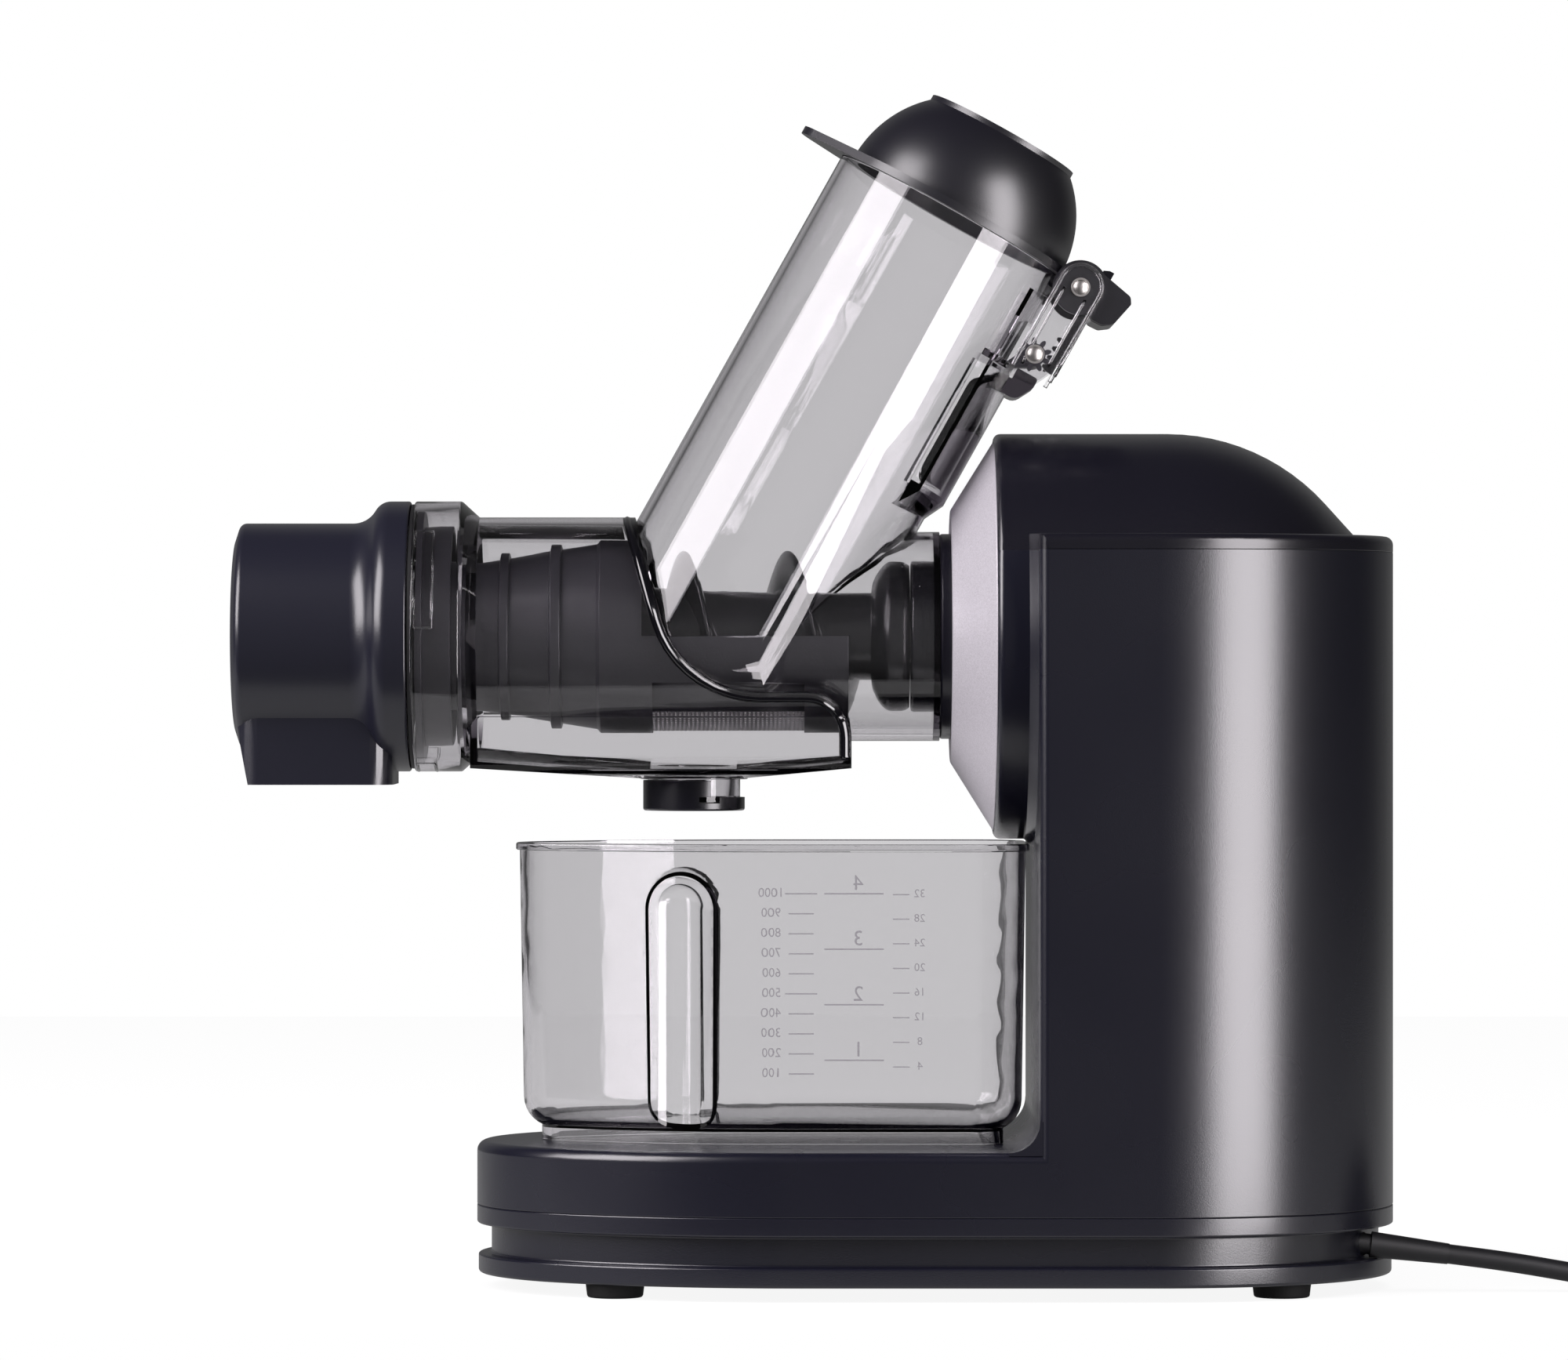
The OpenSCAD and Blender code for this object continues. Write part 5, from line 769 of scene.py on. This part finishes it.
def numeral(text, size):
    """The flat outline of a numeral as points and faces, in millimetres, with its middle at the origin."""
    curve = bpy.data.curves.new("numeral", "FONT")
    curve.body = text
    curve.size = size
    curve.align_x = "CENTER"
    curve.align_y = "CENTER"
    curve.resolution_u = 3
    curve.extrude = mark_depth / 2
    holder = bpy.data.objects.new("numeral", curve)
    bpy.context.scene.collection.objects.link(holder)
    bpy.context.view_layer.update()
    mesh = holder.evaluated_get(bpy.context.evaluated_depsgraph_get()).to_mesh()
    points = np.empty(3 * len(mesh.vertices))
    mesh.vertices.foreach_get("co", points)
    faces = [list(f.vertices) for f in mesh.polygons]
    holder.to_mesh_clear()
    bpy.data.objects.remove(holder)
    bpy.data.curves.remove(curve)
    return points.reshape(-1, 3), faces


def stroke(width, height):
    """A raised line: a thin box with chamfered ends."""
    w, h, d = width / 2, height / 2, mark_depth / 2
    outline = np.array([(-w, 0), (-w + h, -h), (w - h, -h), (w, 0), (w - h, h), (-w + h, h)])
    points = np.concatenate([np.c_[outline, np.full(6, -d)], np.c_[outline, np.full(6, d)]])
    sides = [[k, (k + 1) % 6, 6 + (k + 1) % 6, 6 + k] for k in range(6)]
    return points, [[5, 4, 3, 2, 1, 0], [6, 7, 8, 9, 10, 11], *sides]


# Three scales side by side, each as: marks, unit, lowest mark, step, line (width, height, X), numeral
# (size, X, lift), and the longer line on every fifth mark
scales = [
    (10, 100, 70.5, 7.0, (9, 0.45, -46), (4.6, -56.5, 0.3), 11.5),
    (4, 1, 75.3, 19.4, (21, 0.5, -27.5), (7.5, -26, 3.6), 21),
    (8, 4, 73.0, 8.6, (6, 0.4, -11), (4.0, -4.5, 0.3), 6)]
marks = []
for count, unit, low, rise, (width, height, line_x), (size, numeral_x, lift), long_width in scales:
    for step in range(count):
        z = low + step * rise
        marks.append((stroke(long_width if step % 5 == 4 else width, height), line_x, z))
        marks.append((numeral(str(unit * (step + 1)), size), numeral_x, z + lift))
mark_gap = 0.02
mark_points, mark_faces, so_far = [], [], 0
for (points, faces), x, z in marks:
    # the scale is read from behind, so its own right is the part's left
    px, pz = x - points[:, 0], z + points[:, 1]
    py = back_wall(px, pz) + mark_gap + mark_depth / 2 + points[:, 2]
    mark_points.append(np.stack([px, py, pz], axis=1))
    mark_faces += [[so_far + v for v in face] for face in faces]
    so_far += len(points)
marks_mesh = bpy.data.meshes.new("jug_scale")
marks_mesh.from_pydata((np.concatenate(mark_points) * MM).tolist(), [], mark_faces)
marks_mesh.materials.append(matt_marks())
scale = bpy.data.objects.new("jug_scale", marks_mesh)
bpy.context.scene.collection.objects.link(scale)
keep(scale, "jug_body", "smoke_clear")

# ---------------------------------------------------------------------------------------------
# Switch on the back of the column: a rotary switch of black PBT with a satin knob.
# Satin ABS for the grip, and PBT, which is filled with glass fibre and looks matt and a shade greyer
knob_abs = moulded_plastic("satin_knob_abs", "#1b1b22", 0.32, 0.5, 0.2, 0.7)
pbt = moulded_plastic("black_pbt", "#222226", 0.5, 0.6, 0.2)
dressed("speed_knob", "switch_knob", "knob_body", "black_abs", knob_abs)
dressed("rotary_switch", "switch_body", "housing", "black_abs", pbt)


# ---------------------------------------------------------------------------------------------
# Drive train inside the housing. These pieces keep their CAD shape and get their finish here.
def finish(material, *names):
    """Gives CAD nodes a material as they are."""
    for name in names:
        nodes[name].data.materials.clear()
        nodes[name].data.materials.append(material)


# Carbon steel, turned and ground: shafts, axle and bearing
finish(metal("ground_carbon_steel", "#b4b2b0", 0.25, (0.1, 1, 1)), "auger_drive_shaft", "output_shaft",
       "middle_axle", "output_bearing")
# Zinc-plated steel: screws with a faint blue cast
finish(metal("zinc_plated_steel", "#aeb3b8", 0.34), "base_screws", "collar_screws", "case_screws")
# Deep-drawn steel can, lacquered: long drawing lines along the motor
finish(metal("drawn_steel_can", "#8d9093", 0.42, (0.1, 1, 1)), "motor_can")
# Silicon steel sheets stacked along the shaft, 0.5 mm each: drawn as stripes across X
finish(metal("laminated_silicon_steel", "#7f8184", 0.5, (4, 0.05, 0.05), 2.0, 0.4), "motor_stator",
       "motor_rotor")
# Unfilled nylon, moulded: gears in its own ivory, with a soft shine
finish(moulded_plastic("natural_nylon", "#e4dfd0", 0.42, 0.8, 0.15), "output_gear", "middle_gear")
# Glass-filled nylon, moulded: case and fan are dark grey and dull, because fibres reach the surface
finish(moulded_plastic("glass_filled_nylon", "#39393c", 0.55, 0.6, 0.35), "gear_case", "gear_case_front",
       "cooling_fan")


def circuit_board():
    """Glass fibre board under green solder mask: the cloth's 0.5 mm weave shows faintly through it."""
    material, tree = blank("solder_masked_fr4")
    place = put(tree, "ShaderNodeTexCoord").outputs["Object"]
    weave = put(tree, "ShaderNodeTexWave", {"Vector": place, "Scale": 600, "Distortion": 0.4})
    tint = put(tree, "ShaderNodeMix", {
        "Factor": weave.outputs["Fac"], 6: srgb("#17442c"), 7: srgb("#1f5537")}, data_type="RGBA")
    shader = put(tree, "ShaderNodeBsdfPrincipled", {"Base Color": tint.outputs[2], "Roughness": 0.3})
    put(tree, "ShaderNodeOutputMaterial", {"Surface": shader.outputs["BSDF"]})
    return material


finish(circuit_board(), "control_board")
# Nickel-plated brass: the plug's pins, bright and faintly yellow
finish(metal("nickel_plated_brass", "#c8c4ba", 0.25), "plug_pins")
